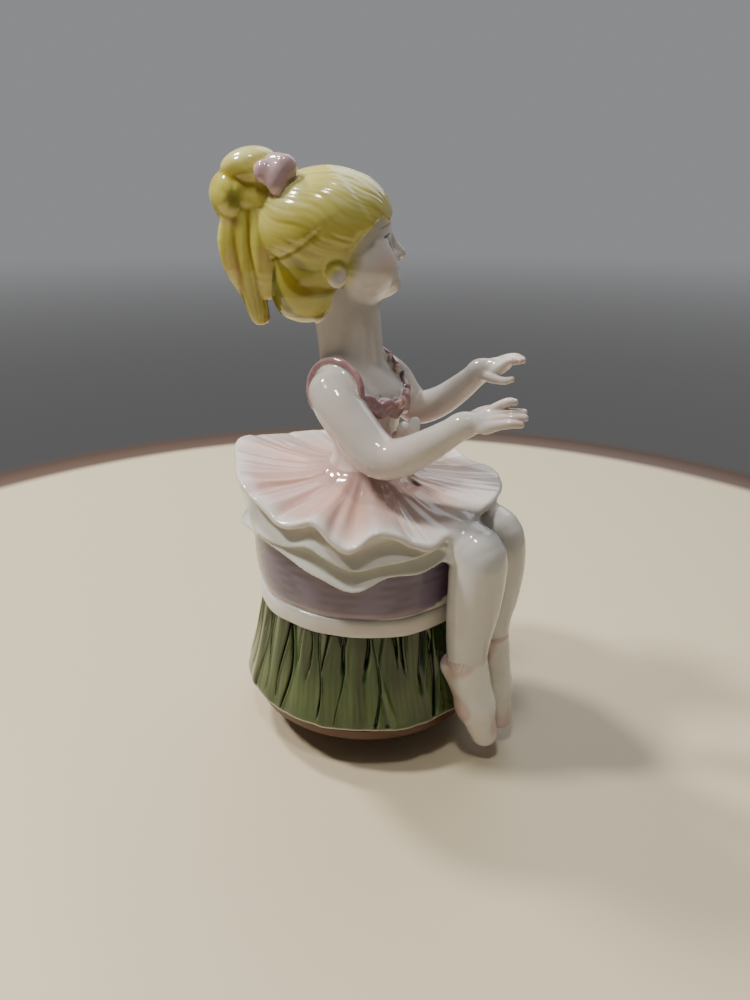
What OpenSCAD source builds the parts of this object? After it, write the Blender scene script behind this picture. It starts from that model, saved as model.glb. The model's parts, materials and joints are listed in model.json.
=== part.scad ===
// Porcelain musical figurine: a ballerina who sits on a round stool.
// The stool hides a wind-up movement, whose winding arbor ends in a foot on the table,
// so the whole figurine turns on that foot while the movement plays.
// Millimetres. +Z is up, the origin is the centre of the foot's underside,
// the girl faces -Y, and her right hand is on the -X side.

/* [Base] */
// Height of the base disc's underside above the table
base_lift = 9; // [8.6:0.2:9.4]
// Radius of the wooden base disc
disc_r = 39.5; // [39:0.5:41]
// Thickness of the base disc's rim
disc_t = 4.5; // [4:0.5:5]

/* [Stool] */
// Radius of the draped skirt at its hem
hem_r = 43.5; // [43:0.5:46]
// Radius of the draped skirt at its top
skirt_top_r = 35.6; // [35:0.2:37]
// Height of the skirt's top edge above the table
skirt_top_z = 45.4; // [45:0.2:46]
// Height of the plain rim between skirt and cushion
rim_h = 4.6; // [4:0.2:5]
// Height of the cushion
cushion_h = 20; // [19:0.5:21]
// Wall thickness of the cast porcelain
wall = 3.2; // [2.8:0.2:3.6]

/* [Figure] */
// Angle by which the head turns to the girl's left
head_turn = 37; // [30:1:42]
// Angle by which the chin is lifted
chin_lift = 7; // [4:1:10]
// Radius of the tutu's upper layer
tutu_r = 43.5; // [42:0.5:46]
// Number of waves round the tutu's hem
tutu_waves = 13; // [9:1:15]

/* [Turntable foot] */
// Radius of the foot
foot_r = 22; // [20:0.5:26]
// Thickness of the felt pad under the foot
pad_t = 1; // [0.8:0.1:1.2]
// Thickness of the foot's plate
foot_t = 3; // [2.5:0.5:3.5]

/* [Movement] */
// Module of the gear teeth
gear_m = 0.5; // [0.5]
// Teeth on the crown wheel
crown_teeth = 56; // [56]
// Teeth on the cylinder wheel
cylinder_teeth = 28; // [28]
// Leaves on the governor pinion
pinion_teeth = 10; // [10]
// Teeth on the worm wheel
worm_wheel_teeth = 30; // [30]
// Notes on the comb
comb_notes = 18; // [12:1:18]

/* [Hidden] */

$fn = 64;
eps = 0.01;
blob_fn = 16;

// Colours
skin = "linen";
blush = "mistyrose";
blonde = "khaki";
lilac = "thistle";
green = "darkolivegreen";
wood = "saddlebrown";
brass = "goldenrod";
steel = "silver";

// Heights of the stool, from the table up
disc_top_z = base_lift + disc_t;
plug_h = 2;
plug_r = disc_r - 3;
plate_z = disc_top_z + plug_h;
hem_z = disc_top_z + 2;
rim_top_z = skirt_top_z + rim_h;
seat_z = rim_top_z + cushion_h;

// The movement: its plate, the heights of its shafts and the places of its axes
plate_t = 2.2;
plate_top_z = plate_z + plate_t;
cylinder_wheel_r = gear_m * cylinder_teeth / 2;
crown_r = gear_m * crown_teeth / 2;
pinion_r = gear_m * pinion_teeth / 2;
axis_z = plate_top_z + cylinder_wheel_r + 1;
tooth_add = 0.45;
tooth_ded = 0.65;
wheel_w = 1.6;
wheel_x = crown_r - wheel_w / 2;
arbor_r = 2;
shaft_r = 1;
fine_r = 0.6;
play = 0.06;
housing_r = 12;
housing_h = 12.5;
crown_z = axis_z + cylinder_wheel_r + tooth_ded;
cylinder_r = 5.5;
cylinder_x = wheel_x + 4.2;
cylinder_len = 14.4;
pin_len = 0.6;
lug_t = 1.6;
inner_lug_x = wheel_x + wheel_w + 0.4;
outer_lug_x = cylinder_x + cylinder_len + 0.6;
governor_y = cylinder_wheel_r + pinion_r;
worm_wheel_r = 5;
worm_r = 1.7;
worm_core_r = 1.25;
worm_thread = 0.35;
worm_lead = 2 * PI * worm_wheel_r / worm_wheel_teeth;
worm_wheel_x = inner_lug_x + 0.4;
worm_wheel_w = 1;
worm_at = [worm_wheel_x + worm_wheel_w / 2, governor_y + worm_wheel_r + worm_r];
worm_half = 4;
fan_r = 4.6;
fan_z = axis_z + worm_half + 1.6;
fan_h = 5;
comb_t = 1;
comb_reach = 7.4;
comb_base = 3.8;
comb_y = -(cylinder_r + pin_len + 0.15);
screw_r = 1.25;
screw_head_r = 2.6;
screw_places = [[-10.5, -13.5], [-10.5, 13.5], [29, 10.5]];

// The girl's joints: x to her left, y to her back
torso_path = [[0, -1, 77], [0, 0, 90], [0, 1.5, 106], [0, 3, 115]];
shoulder_half = 13;
shoulder_z = 118;
neck_base = [0, 6, 124];
neck_top = [-1.5, 7.5, 142];
neck_r = 9;
head_centre = [-2, 9.5, 158.5];
right_arm_path = [[-15, 2, 117], [-17, -18, 98.5], [-13, -40.5, 112.5]];
left_arm_path = [[15, 3, 119], [21, -4, 103], [18.5, -27.5, 121]];
arm_radii = [6.6, 5.6, 3.4];
right_leg_path = [[-7, -6, 75], [-6.8, -47, 74.5], [-7.3, -46, 37]];
left_leg_path = [[7, -6, 75], [7, -45.5, 76], [6.6, -45.5, 37]];
leg_radii = [7, 7, 5.4];
hips_clear_r = 13.4;
right_toe = [-5, -51.5, 4];
left_toe = [5.4, -51, 5.5];

// ---------------------------------------------------------------- shared shapes

// A limb: balls of the given radii along a path, joined by their hulls
module limb(path, radii, fn = blob_fn) {
    for (i = [0 : len(path) - 2])
        hull() {
            translate(path[i]) sphere(radii[i], $fn = fn);
            translate(path[i + 1]) sphere(radii[i + 1], $fn = fn);
        }
}

// A ball stretched to three half axes
module egg(half, fn = 24) {
    hull() scale(half) sphere(1, $fn = fn);
}

// Turns a shape drawn along +Z to lie along +X, with its own x pointing to +Y
module along_x() {
    rotate([90, 0, 90]) children();
}

// The outline of a gear with straight-sided teeth, one of them on the x axis when turn is 0
function gear_points(teeth, r, share, turn) = [
    for (i = [0 : teeth - 1])
        for (side = [[r - tooth_ded, -1.15], [r + tooth_add, -0.7],
                     [r + tooth_add, 0.7], [r - tooth_ded, 1.15]])
            let (a = turn + 360 / teeth * (i + side[1] * share / 2))
            side[0] * [cos(a), sin(a)]
];

module gear(teeth, r, width, share = 0.4, turn = 0) {
    linear_extrude(width) polygon(gear_points(teeth, r, share, turn));
}

// A ring-shaped solid between two radii
module tube(outer, inner, h) {
    difference() {
        cylinder(h = h, r = outer);
        translate([0, 0, -1]) cylinder(h = h + 2, r = inner);
    }
}

// A layer of gathered cloth round the waist. rings lists [radius, height, wave, thickness]
// from the waist outwards, and the whole layer tilts up behind her right hip.
module frill(rings, waves, turn, tilt, sides = 78) {
    high_side = 115;
    n = len(rings);
    function lift(ring, a) =
        ring[1] + ring[2] * cos(waves * (a + turn)) + tilt * ring[0] / tutu_r * cos(a - high_side);
    function spread(ring, a) = ring[0] + 0.5 * ring[2] * sin(waves * (a + turn));
    points = [
        for (s = [0, 1])
            for (ring = rings)
                for (k = [0 : sides - 1])
                    let (a = 360 * k / sides, r = spread(ring, a))
                    [r * cos(a), r * sin(a), lift(ring, a) - s * ring[3]]
    ];
    function at(s, i, k) = (s * n + i) * sides + k % sides;
    faces = [
        for (k = [0 : sides - 1])
            each concat(
                [for (i = [0 : n - 2]) each [
                    [at(0, i, k), at(0, i, k + 1), at(0, i + 1, k)],
                    [at(0, i + 1, k), at(0, i, k + 1), at(0, i + 1, k + 1)],
                    [at(1, i, k), at(1, i + 1, k), at(1, i, k + 1)],
                    [at(1, i + 1, k), at(1, i + 1, k + 1), at(1, i, k + 1)]]],
                [[at(0, 0, k), at(1, 0, k), at(0, 0, k + 1)],
                 [at(0, 0, k + 1), at(1, 0, k), at(1, 0, k + 1)],
                 [at(0, n - 1, k), at(0, n - 1, k + 1), at(1, n - 1, k)],
                 [at(0, n - 1, k + 1), at(1, n - 1, k + 1), at(1, n - 1, k)]])
    ];
    polyhedron(points, faces);
}

// ---------------------------------------------------------------- turntable foot

module turntable_foot() {
    hub_r = 6;
    hub_top = base_lift - 1;
    color(steel) difference() {
        union() {
            translate([0, 0, pad_t]) cylinder(h = foot_t, r = foot_r);
            translate([0, 0, pad_t]) cylinder(h = hub_top - pad_t, r = hub_r);
        }
        translate([0, 0, pad_t + 1.2]) cylinder(h = base_lift, r = arbor_r);
    }
}

module foot_pad() {
    color("darkslategray") cylinder(h = pad_t, r = foot_r - 1);
}

// The arbor turns with the foot, carries the mainspring's inner end and drives the crown wheel
module winding_arbor() {
    spring_hub_r = 3;
    color(steel) {
        translate([0, 0, pad_t + 1.2]) cylinder(h = crown_z + 3 - pad_t - 1.2, r = arbor_r);
        translate([0, 0, plate_top_z + 1]) cylinder(h = housing_h - 3, r = spring_hub_r);
    }
}

module thrust_washer() {
    color("ivory") translate([0, 0, base_lift - 1])
        tube(5, arbor_r + play, plate_z - 4 - base_lift + 1);
}

// Crown wheel: its teeth hang down onto the cylinder wheel
module crown_wheel() {
    plate = 1.4;
    hub_r = 4;
    tooth_h = tooth_add + tooth_ded;
    color(brass) difference() {
        union() {
            translate([0, 0, crown_z]) cylinder(h = plate, r = crown_r + 1.1);
            translate([0, 0, crown_z - 1.8]) cylinder(h = plate + 3.2, r = hub_r);
            for (i = [0 : crown_teeth - 1])
                rotate([0, 0, 360 / crown_teeth * (i + 0.5)])
                    translate([crown_r - 1.1, -0.26, crown_z - tooth_h])
                        cube([2.2, 0.52, tooth_h + 0.4]);
        }
        translate([0, 0, crown_z - 5]) cylinder(h = 12, r = arbor_r);
        for (a = [45 : 90 : 315])
            rotate([0, 0, a]) translate([8.4, 0, crown_z - 1]) cylinder(h = plate + 2, r = 2.6);
    }
}

// ---------------------------------------------------------------- base and movement

// Varnished wooden disc that closes the stool and carries the movement
module base_disc() {
    bead = 0.8;
    color(wood) difference() {
        union() {
            rotate_extrude($fn = 128) polygon([
                [0, base_lift], [disc_r - bead, base_lift], [disc_r, base_lift + bead],
                [disc_r, disc_top_z - bead], [disc_r - bead, disc_top_z], [0, disc_top_z]
            ]);
            translate([0, 0, disc_top_z - eps]) cylinder(h = plug_h + eps, r = plug_r);
        }
        translate([0, 0, base_lift - 1]) cylinder(h = 20, r = 5.4);
        for (p = screw_places)
            translate([p[0], p[1], base_lift - 1]) cylinder(h = 20, r = screw_r);
    }
}

module movement_screws() {
    head_h = 1.6;
    color(steel) for (p = screw_places) translate([p[0], p[1], 0]) difference() {
        union() {
            translate([0, 0, base_lift - head_h]) cylinder(h = head_h, r = screw_head_r);
            translate([0, 0, base_lift - eps]) cylinder(h = plate_top_z + 1.8 - base_lift, r = screw_r);
        }
        translate([-3, -0.3, base_lift - head_h - 1]) cube([6, 0.6, 1.8]);
    }
}

// Plan of the bedplate: a round end under the spring housing, a tongue under cylinder, comb and governor
module plate_outline() {
    circle(r = 14.6);
    polygon([[-13.6, -16.6], [28.6, -17.4], [32, -14], [34.2, -5], [34.2, 5],
             [31.8, 13.4], [25, 21.4], [12, 21.4], [8, 16.6], [-13.6, 16.6]]);
}

// A bearing lug across the x axis, with a bore for a shaft at [y, height]
module lug(x, y, w, r_bore) {
    difference() {
        translate([x, y - w / 2, plate_top_z - 0.5])
            cube([lug_t, w, axis_z - plate_top_z + 0.5 + w / 2]);
        translate([x - 1, y, axis_z]) along_x() cylinder(h = lug_t + 2, r = r_bore);
    }
}

module bedplate() {
    boss_r = 2.9;
    comb_step_y = comb_y - comb_reach;
    color(brass) difference() {
        union() {
            translate([0, 0, plate_z]) linear_extrude(plate_t) plate_outline();
            for (p = screw_places)
                translate([p[0], p[1], plate_z + 0.5]) cylinder(h = plate_t + 1.5, r = boss_r);
            translate([0, 0, plate_z - 4]) cylinder(h = 5, r = 5);
            lug(inner_lug_x, 0, 5.4, shaft_r + play);
            lug(outer_lug_x, 0, 5.4, shaft_r + play);
            translate([cylinder_x, comb_step_y - comb_base, plate_top_z - 0.5])
                cube([cylinder_len, comb_base, axis_z - comb_t / 2 - plate_top_z + 0.5]);
        }
        translate([0, 0, plate_z - 5]) cylinder(h = 12, r = arbor_r + play);
        for (p = screw_places)
            translate([p[0], p[1], plate_z - 1]) cylinder(h = plate_t + 2.8 + eps, r = screw_r);
        for (x = comb_screw_x())
            translate([x, comb_step_y - comb_base / 2, axis_z - 5]) cylinder(h = 9, r = 0.8);
        for (y = [-1, 1])
            translate([0, y * 13.6, plate_z + 0.4]) cylinder(h = 9, r = 0.8);
        for (p = frame_screw_places())
            translate([p[0], p[1], plate_z + 0.4]) cylinder(h = 9, r = 0.8);
        translate([worm_at[0], worm_at[1], plate_z + 1]) cylinder(h = 9, r = fine_r + play);
    }
}

function comb_screw_x() = [cylinder_x + 3, cylinder_x + cylinder_len - 3];
function frame_screw_places() = [[22.4, 18.4], [22.4, 13.2]];

// Brass cup over the mainspring, with an ear at each side for its screw
module spring_housing() {
    skin_t = 0.8;
    ear_t = 1;
    color(brass) difference() {
        translate([0, 0, plate_top_z]) union() {
            cylinder(h = housing_h, r = housing_r);
            for (y = [-1, 1])
                translate([-2.2, y * 13.6 - 2.2, 0]) cube([4.4, 4.4, ear_t]);
        }
        translate([0, 0, plate_top_z - 1]) cylinder(h = housing_h + 1 - skin_t, r = housing_r - skin_t);
        translate([0, 0, plate_top_z]) cylinder(h = housing_h + 1, r = arbor_r + play);
        for (y = [-1, 1])
            translate([0, y * 13.6, plate_top_z - 1]) cylinder(h = 5, r = 0.8);
    }
}

// A slotted screw with its head on top of a sheet at height z
module small_screw(p, z, depth) {
    translate([p[0], p[1], z]) difference() {
        union() {
            cylinder(h = 0.9, r = 1.6);
            translate([0, 0, -depth]) cylinder(h = depth + eps, r = 0.8);
        }
        translate([-2, -0.2, 0.5]) cube([4, 0.4, 1]);
    }
}

module housing_screws() {
    color(steel) for (y = [-1, 1])
        small_screw([0, y * 13.6], plate_top_z + 1, 2.6);
}

// Mainspring, half wound: a flat strip in a spiral between the arbor and the housing's wall
module mainspring() {
    turns = 7;
    strip = 0.3;
    inner = 3.3;
    outer = housing_r - 1.3;
    steps = 168;
    function at(i, s) =
        let (a = 360 * turns * i / steps, r = inner + (outer - inner) * i / steps + s)
        r * [cos(a), sin(a)];
    color("dimgray") translate([0, 0, plate_top_z + 1]) linear_extrude(housing_h - 3)
        polygon(concat([for (i = [0 : steps]) at(i, 0)], [for (i = [steps : -1 : 0]) at(i, strip)]));
}

// Steel comb: one tooth a note, with slots sawn between them
module comb() {
    slot_w = 0.22;
    pitch = cylinder_len / comb_notes;
    base_y = comb_y - comb_reach;
    color(steel) difference() {
        translate([cylinder_x, base_y - comb_base, axis_z - comb_t / 2])
            cube([cylinder_len, comb_reach + comb_base, comb_t]);
        for (i = [1 : comb_notes - 1])
            translate([cylinder_x + i * pitch - slot_w / 2, base_y + 0.6, axis_z - comb_t])
                cube([slot_w, comb_reach, 2 * comb_t]);
        for (x = comb_screw_x())
            translate([x, base_y - comb_base / 2, axis_z - comb_t]) cylinder(h = 2 * comb_t, r = 0.8);
    }
}

module comb_screws() {
    color(brass) for (x = comb_screw_x())
        small_screw([x, comb_y - comb_reach - comb_base / 2], axis_z + comb_t / 2, 5);
}

// Bracket for the governor: two bearings for its arbor, one above the fan for the worm
module governor_frame() {
    post = [21, 11.4, 3, 9.4];
    arm_t = 1.6;
    arm_z = fan_z + fan_h + 0.6;
    bearing_w = 4;
    color(brass) difference() {
        union() {
            translate([post[0], post[1], plate_top_z]) cube([post[2], post[3], arm_z + arm_t - plate_top_z]);
            translate([worm_at[0] - 2, worm_at[1] - 2, arm_z])
                cube([post[0] + 1 - worm_at[0] + 2, 4, arm_t]);
            for (x = [wheel_x - lug_t - 0.4, worm_wheel_x + worm_wheel_w + 0.4])
                translate([x, governor_y - bearing_w / 2, plate_top_z])
                    cube([lug_t, bearing_w, axis_z - plate_top_z + bearing_w / 2]);
            translate([wheel_x - lug_t - 0.4, governor_y - bearing_w / 2, plate_top_z])
                cube([post[0] - wheel_x + lug_t + 1, bearing_w, 0.9]);
        }
        translate([wheel_x - 4, governor_y, axis_z]) along_x() cylinder(h = 12, r = fine_r + play);
        translate([worm_at[0], worm_at[1], arm_z - 1]) cylinder(h = 4, r = fine_r + play);
        for (p = frame_screw_places())
            translate([p[0], p[1], plate_z]) cylinder(h = 30, r = 0.8);
        for (p = frame_screw_places())
            translate([p[0], p[1], plate_top_z + 1.2]) cylinder(h = 30, r = 1.75);
    }
}

// ---------------------------------------------------------------- turning parts of the movement

module cylinder_shaft() {
    color(steel) translate([wheel_x - 0.2, 0, axis_z]) along_x()
        cylinder(h = outer_lug_x + lug_t - wheel_x + 0.2, r = shaft_r);
}

// Pinned cylinder: every note has its own ring of pins, placed by a fixed rule
module music_cylinder() {
    pitch = cylinder_len / comb_notes;
    color(brass) difference() {
        union() {
            translate([cylinder_x, 0, axis_z]) along_x() cylinder(h = cylinder_len, r = cylinder_r);
            for (i = [0 : comb_notes - 1])
                for (k = [0 : 2])
                    let (a = (137.5 * i + 120 * k + 31 * ((i * 5 + k * 3) % 4)) % 360)
                    translate([cylinder_x + (i + 0.5) * pitch, 0, axis_z]) rotate([a, 0, 0])
                        translate([0, 0, cylinder_r - 0.4])
                            cylinder(h = pin_len + 0.4, r = 0.2, $fn = 6);
        }
        translate([cylinder_x - 1, 0, axis_z]) along_x() cylinder(h = cylinder_len + 2, r = shaft_r);
        for (x = [cylinder_x - eps, cylinder_x + cylinder_len - 0.8])
            translate([x, 0, axis_z]) along_x() tube(cylinder_r - 0.7, 2.2, 0.8 + eps);
    }
}

module cylinder_wheel() {
    color(brass) translate([wheel_x, 0, axis_z]) along_x() difference() {
        gear(cylinder_teeth, cylinder_wheel_r, wheel_w);
        translate([0, 0, -1]) cylinder(h = wheel_w + 2, r = shaft_r);
    }
}

// Arbor and pinion of the governor, cut from one piece
module governor_arbor() {
    span = worm_wheel_x + worm_wheel_w + 0.4 + lug_t - wheel_x + lug_t + 0.4;
    color(steel) union() {
        translate([wheel_x - lug_t - 0.4, governor_y, axis_z]) along_x() cylinder(h = span, r = fine_r);
        translate([wheel_x, governor_y, axis_z]) along_x()
            gear(pinion_teeth, pinion_r, wheel_w, 0.36, 180 / pinion_teeth);
    }
}

module worm_wheel() {
    tip = 0.3;
    root = 0.5;
    share = 0.34;
    outline = [
        for (i = [0 : worm_wheel_teeth - 1])
            for (side = [[-root, -1], [tip, -0.8], [tip, 0.8], [-root, 1]])
                let (a = 360 / worm_wheel_teeth * (i + side[1] * share / 2))
                (worm_wheel_r + side[0]) * [cos(a), sin(a)]
    ];
    color("white") translate([worm_wheel_x, governor_y, axis_z]) along_x() difference() {
        linear_extrude(worm_wheel_w) polygon(outline);
        translate([0, 0, -1]) cylinder(h = 4, r = fine_r);
    }
}

// Worm: a single square thread round a thin shaft
module governor_worm() {
    thread_r = worm_r + 0.3;
    span = 360 * worm_thread;
    turns = 2 * worm_half / worm_lead;
    foot = plate_z + 1.1;
    top = fan_z + fan_h + 2.2;
    color(steel) translate([worm_at[0], worm_at[1], 0]) {
        translate([0, 0, foot]) cylinder(h = top - foot, r = fine_r);
        translate([0, 0, axis_z - worm_half])
            linear_extrude(2 * worm_half, twist = -360 * turns, slices = round(turns * 12), $fn = 12)
                rotate(90 - 180 * turns) union() {
                    circle(r = worm_core_r);
                    polygon(concat([[0, 0]], [
                        for (k = [0 : 4])
                            let (a = span * (k / 4 - 0.5)) thread_r * [cos(a), sin(a)]
                    ]));
                }
    }
}

// Air brake: two thin vanes on a hub
module air_brake_fan() {
    vane_t = 0.5;
    color("ivory") translate([worm_at[0], worm_at[1], fan_z]) difference() {
        union() {
            cylinder(h = fan_h, r = 1.5);
            translate([-fan_r, -vane_t / 2, 0]) cube([2 * fan_r, vane_t, fan_h]);
        }
        translate([0, 0, -1]) cylinder(h = fan_h + 2, r = fine_r);
    }
}

// ---------------------------------------------------------------- porcelain stool

// Outside of the skirt, from its underside up to the rim
skirt_profile = [[hem_r - 3, disc_top_z], [hem_r, hem_z], [hem_r, hem_z + 2.5],
                 [hem_r - 2, hem_z + 9], [skirt_top_r, skirt_top_z]];

// The skirt with its inside filled
module skirt_form() {
    rotate_extrude($fn = 128) polygon(concat([[0, disc_top_z]], skirt_profile, [[0, skirt_top_z]]));
}

// Draped skirt of the stool, an open shell that flares to its hem
module stool_skirt() {
    color(green) rotate_extrude($fn = 128) polygon(concat([[plug_r + 0.5, disc_top_z]], skirt_profile, [
        [skirt_top_r - wall, skirt_top_z], [hem_r - 2.4 - wall, hem_z + 9], [plug_r + 0.8, hem_z + 2.5]
    ]));
}

module seat_rim() {
    outer = skirt_top_r + 1;
    color(skin) rotate_extrude($fn = 128) polygon([
        [skirt_top_r - wall, skirt_top_z], [outer - 0.6, skirt_top_z], [outer, skirt_top_z + 0.8],
        [outer, rim_top_z - 0.8], [outer - 0.6, rim_top_z], [skirt_top_r - wall, rim_top_z]
    ]);
}

// Outline of the round cushion, rolled over at its top and bottom edges
function cushion_profile(r, low, high, roll) = concat(
    [[0, low]],
    [for (a = [-90 : 15 : 0]) [r - roll + roll * cos(a), low + roll + roll * sin(a)]],
    [for (a = [0 : 15 : 90]) [r - roll + roll * cos(a), high - roll + roll * sin(a)]],
    [[0, high]]
);

module cushion_form() {
    rotate_extrude($fn = 96) polygon(cushion_profile(skirt_top_r + 1.4, rim_top_z, seat_z, 5));
}

module seat_cushion() {
    inner_r = skirt_top_r - wall;
    color(lilac) difference() {
        cushion_form();
        translate([0, 0, rim_top_z - 1]) cylinder(h = cushion_h + 1 - wall, r = inner_r);
        cylinder(h = 2 * seat_z, r = 7);
    }
}

// ---------------------------------------------------------------- porcelain girl: full forms

module torso_form() {
    hull() {
        translate(torso_path[0]) egg([13, 11.5, 7], 20);
        translate(torso_path[1]) egg([12, 9.5, 4], 20);
    }
    hull() {
        translate(torso_path[1]) egg([12, 9.5, 4], 20);
        translate(torso_path[2]) egg([13.4, 11, 6], 20);
    }
    hull() {
        translate(torso_path[2]) egg([13.4, 11, 6], 20);
        translate(torso_path[3]) egg([13, 10.5, 6], 20);
        for (s = [-1, 1])
            translate([s * shoulder_half, 3, shoulder_z]) sphere(5, $fn = blob_fn);
    }
    hull() {
        translate([0, 4, 118]) egg([12, 8.5, 5], 20);
        translate(neck_base) sphere(neck_r, $fn = 20);
    }
    limb([neck_base, neck_top], [neck_r, neck_r], 20);
}

// Places a shape drawn round the origin, facing -Y, at the head's place and turn
module at_head() {
    translate(head_centre) rotate([0, 0, head_turn]) rotate([-chin_lift, 0, 0]) children();
}

module head_form() {
    at_head() {
        hull() {
            translate([0, 1.5, 3]) egg([17.6, 18.4, 15.2], 28);
            translate([0, -6, -10]) egg([11.5, 11, 8.5], 24);
        }
        hull() {
            translate([0, -17.6, -6.4]) sphere(1.7, $fn = 12);
            translate([0, -15.5, -2]) sphere(1.6, $fn = 12);
        }
        for (s = [-1, 1])
            translate([s * 15.4, 1.5, -8]) rotate([0, s * 12, 0]) egg([2.4, 3, 4.4], 16);
    }
}

module hair_form() {
    at_head() difference() {
        hull() {
            translate([0, 3, 4]) egg([19.6, 20.2, 16], 28);
            translate([0, 8, -10]) egg([14.5, 13.5, 10], 24);
        }
        translate([0, -22, -20]) rotate([-14, 0, 0]) cube([60, 26, 60], center = true);
        translate([0, -20, -24]) rotate([32, 0, 0]) cube([60, 50, 30], center = true);
    }
}

module bun_form() {
    at_head() {
        hull() {
            translate([0, 26.8, 14.4]) egg([8.4, 8.4, 8.4], 20);
            translate([0, 21, 13]) egg([8, 6, 7], 20);
        }
        translate([0, 21.5, 21]) egg([8.8, 8.8, 6.4], 20);
    }
}

module ponytail_form() {
    at_head()
        limb([[0, 28.6, 9], [0, 29.6, -1], [0, 28, -9], [0, 26.6, -19.6]], [5.6, 5.6, 5.2, 3.2], 16);
}

module flower_form() {
    at_head() translate([-8, 14, 20])
        for (a = [0 : 72 : 288])
            rotate([0, -40, 0]) rotate([0, 0, a]) translate([3.1, 0, 0]) egg([3.4, 2.8, 3], 12);
}

// Hollow left by the slip that was poured out: head, neck, torso and hips in one run
module casting_core() {
    at_head() translate([0, 2, 3]) sphere(13, $fn = 20);
    limb([head_centre, neck_base, torso_path[2], torso_path[0], [0, 0, seat_z - 4]],
         [4, 4.5, 7, 7.5, 5], 12);
}

// One arm: path from shoulder to wrist, then a palm, four fingers and a thumb.
// turn points the hand, roll turns the palm, and side is 1 for the right hand.
module arm_form(path, turn, roll, side) {
    finger_w = 1.9;
    limb(path, arm_radii);
    translate(path[2]) rotate(turn) rotate([0, roll, 0]) {
        hull() {
            sphere(3.1, $fn = 12);
            translate([0, -6.5, 0]) egg([4, 3.4, 1.9], 12);
        }
        for (i = [0 : 3])
            limb([[finger_w * (i - 1.5), -7, 0], [finger_w * (i - 1.5) * 1.15, -11.6, -0.6],
                  [finger_w * (i - 1.5) * 1.2, -15.6 + abs(i - 1.4) * 0.9, -2]],
                 [1.2, 1.1, 0.85], 8);
        limb([[side * 2.6, -2.6, 0], [side * 5.2, -6, -1.6], [side * 5.6, -9.6, -1.8]], [1.5, 1.2, 0.95], 8);
    }
}

module right_arm_form() {
    arm_form(right_arm_path, [-24, 0, 6], -38, 1);
}

module left_arm_form() {
    arm_form(left_arm_path, [-30, 0, 4], -20, -1);
}

module leg_form(path) {
    limb(path, leg_radii, 20);
}

// A ballet slipper on a foot that points down
module slipper_form(ankle, toe) {
    heel = ankle + [0, 4.6, -5];
    ball = ankle * 0.42 + toe * 0.58 + [0, 0.6, 0];
    hull() {
        translate(ankle + [0, 0, -1.5]) sphere(5.6, $fn = blob_fn);
        translate(heel) sphere(3.6, $fn = blob_fn);
        translate(ball) egg([5.1, 4.8, 5], blob_fn);
    }
    hull() {
        translate(ball) egg([5.1, 4.8, 5], blob_fn);
        translate(toe) egg([3.9, 3, 2.6], blob_fn);
    }
}

module upper_layer_form() {
    frill([[8, 90, 0, 2.4], [13, 88.5, 0.2, 2.4], [20, 86.4, 0.5, 2.4], [30, 85, 0.9, 2.4],
           [38, 84.6, 1.4, 2.4], [tutu_r, 84, 2, 2.2]], tutu_waves, 0, 6);
}

// ---------------------------------------------------------------- porcelain girl: pieces

module tutu_upper_layer() {
    color(blush) difference() {
        upper_layer_form();
        torso_form();
    }
}

// Both legs, with the space between the thighs filled
module lap_form() {
    hull() for (path = [right_leg_path, left_leg_path])
        for (i = [0, 1]) translate(path[i]) sphere(leg_radii[i], $fn = 20);
    leg_form(right_leg_path);
    leg_form(left_leg_path);
}

module middle_layer_form() {
    frill([[hips_clear_r, 86, 0, 4], [30, 82.4, 0, 4], [37, 81, 0.4, 4], [41, 78, 0.8, 3],
           [42.2, 73.6, 1.6, 2.2]], 9, 14, 4);
}

module tutu_middle_layer() {
    color("white") difference() {
        middle_layer_form();
        upper_layer_form();
        lap_form();
    }
}

module tutu_lower_layer() {
    color("white") difference() {
        frill([[hips_clear_r, 82, 0, 12], [30, 78.6, 0, 8.4], [36.6, 76.6, 0.2, 6], [40, 73, 0.6, 3.5],
               [41, 67.6, 2, 2.2]], 7, 30, 3);
        middle_layer_form();
        upper_layer_form();
        lap_form();
        cushion_form();
    }
}

module torso() {
    color(skin) difference() {
        torso_form();
        casting_core();
        cushion_form();
        head_form();
    }
}

module head() {
    color(skin) difference() {
        head_form();
        casting_core();
    }
}

module hair() {
    color(blonde) difference() {
        hair_form();
        head_form();
        torso_form();
    }
}

module hair_bun() {
    color(blonde) difference() {
        bun_form();
        hair_form();
        head_form();
    }
}

module ponytail() {
    color(blonde) difference() {
        ponytail_form();
        bun_form();
        hair_form();
        head_form();
    }
}

module hair_flower() {
    color(lilac) difference() {
        flower_form();
        bun_form();
        hair_form();
        head_form();
    }
}

// Rolled piping round each armhole
module strap_form() {
    ring_r = 7.6;
    for (s = [-1, 1]) translate([s * 11.5, 2.6, shoulder_z - 1.4])
        limb([for (a = [0 : 30 : 360]) [s * 1.2 * sin(a), ring_r * cos(a), ring_r * sin(a)]],
             [for (a = [0 : 30 : 360]) 1.3], 8);
}

module shoulder_straps() {
    color(blush) difference() {
        strap_form();
        torso_form();
        right_arm_form();
        left_arm_form();
    }
}

// Gathered strip across the top of the bodice
module ruffle_form() {
    limb([for (a = [-72 : 16 : 72]) [13.2 * sin(a), 1.6 - 11.6 * cos(a), 109 + 4 * pow(sin(a), 2)]],
         [for (a = [-72 : 16 : 72]) 1.9], 8);
}

module bust_ruffle() {
    color(blush) difference() {
        ruffle_form();
        strap_form();
        torso_form();
        right_arm_form();
        left_arm_form();
    }
}

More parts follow.
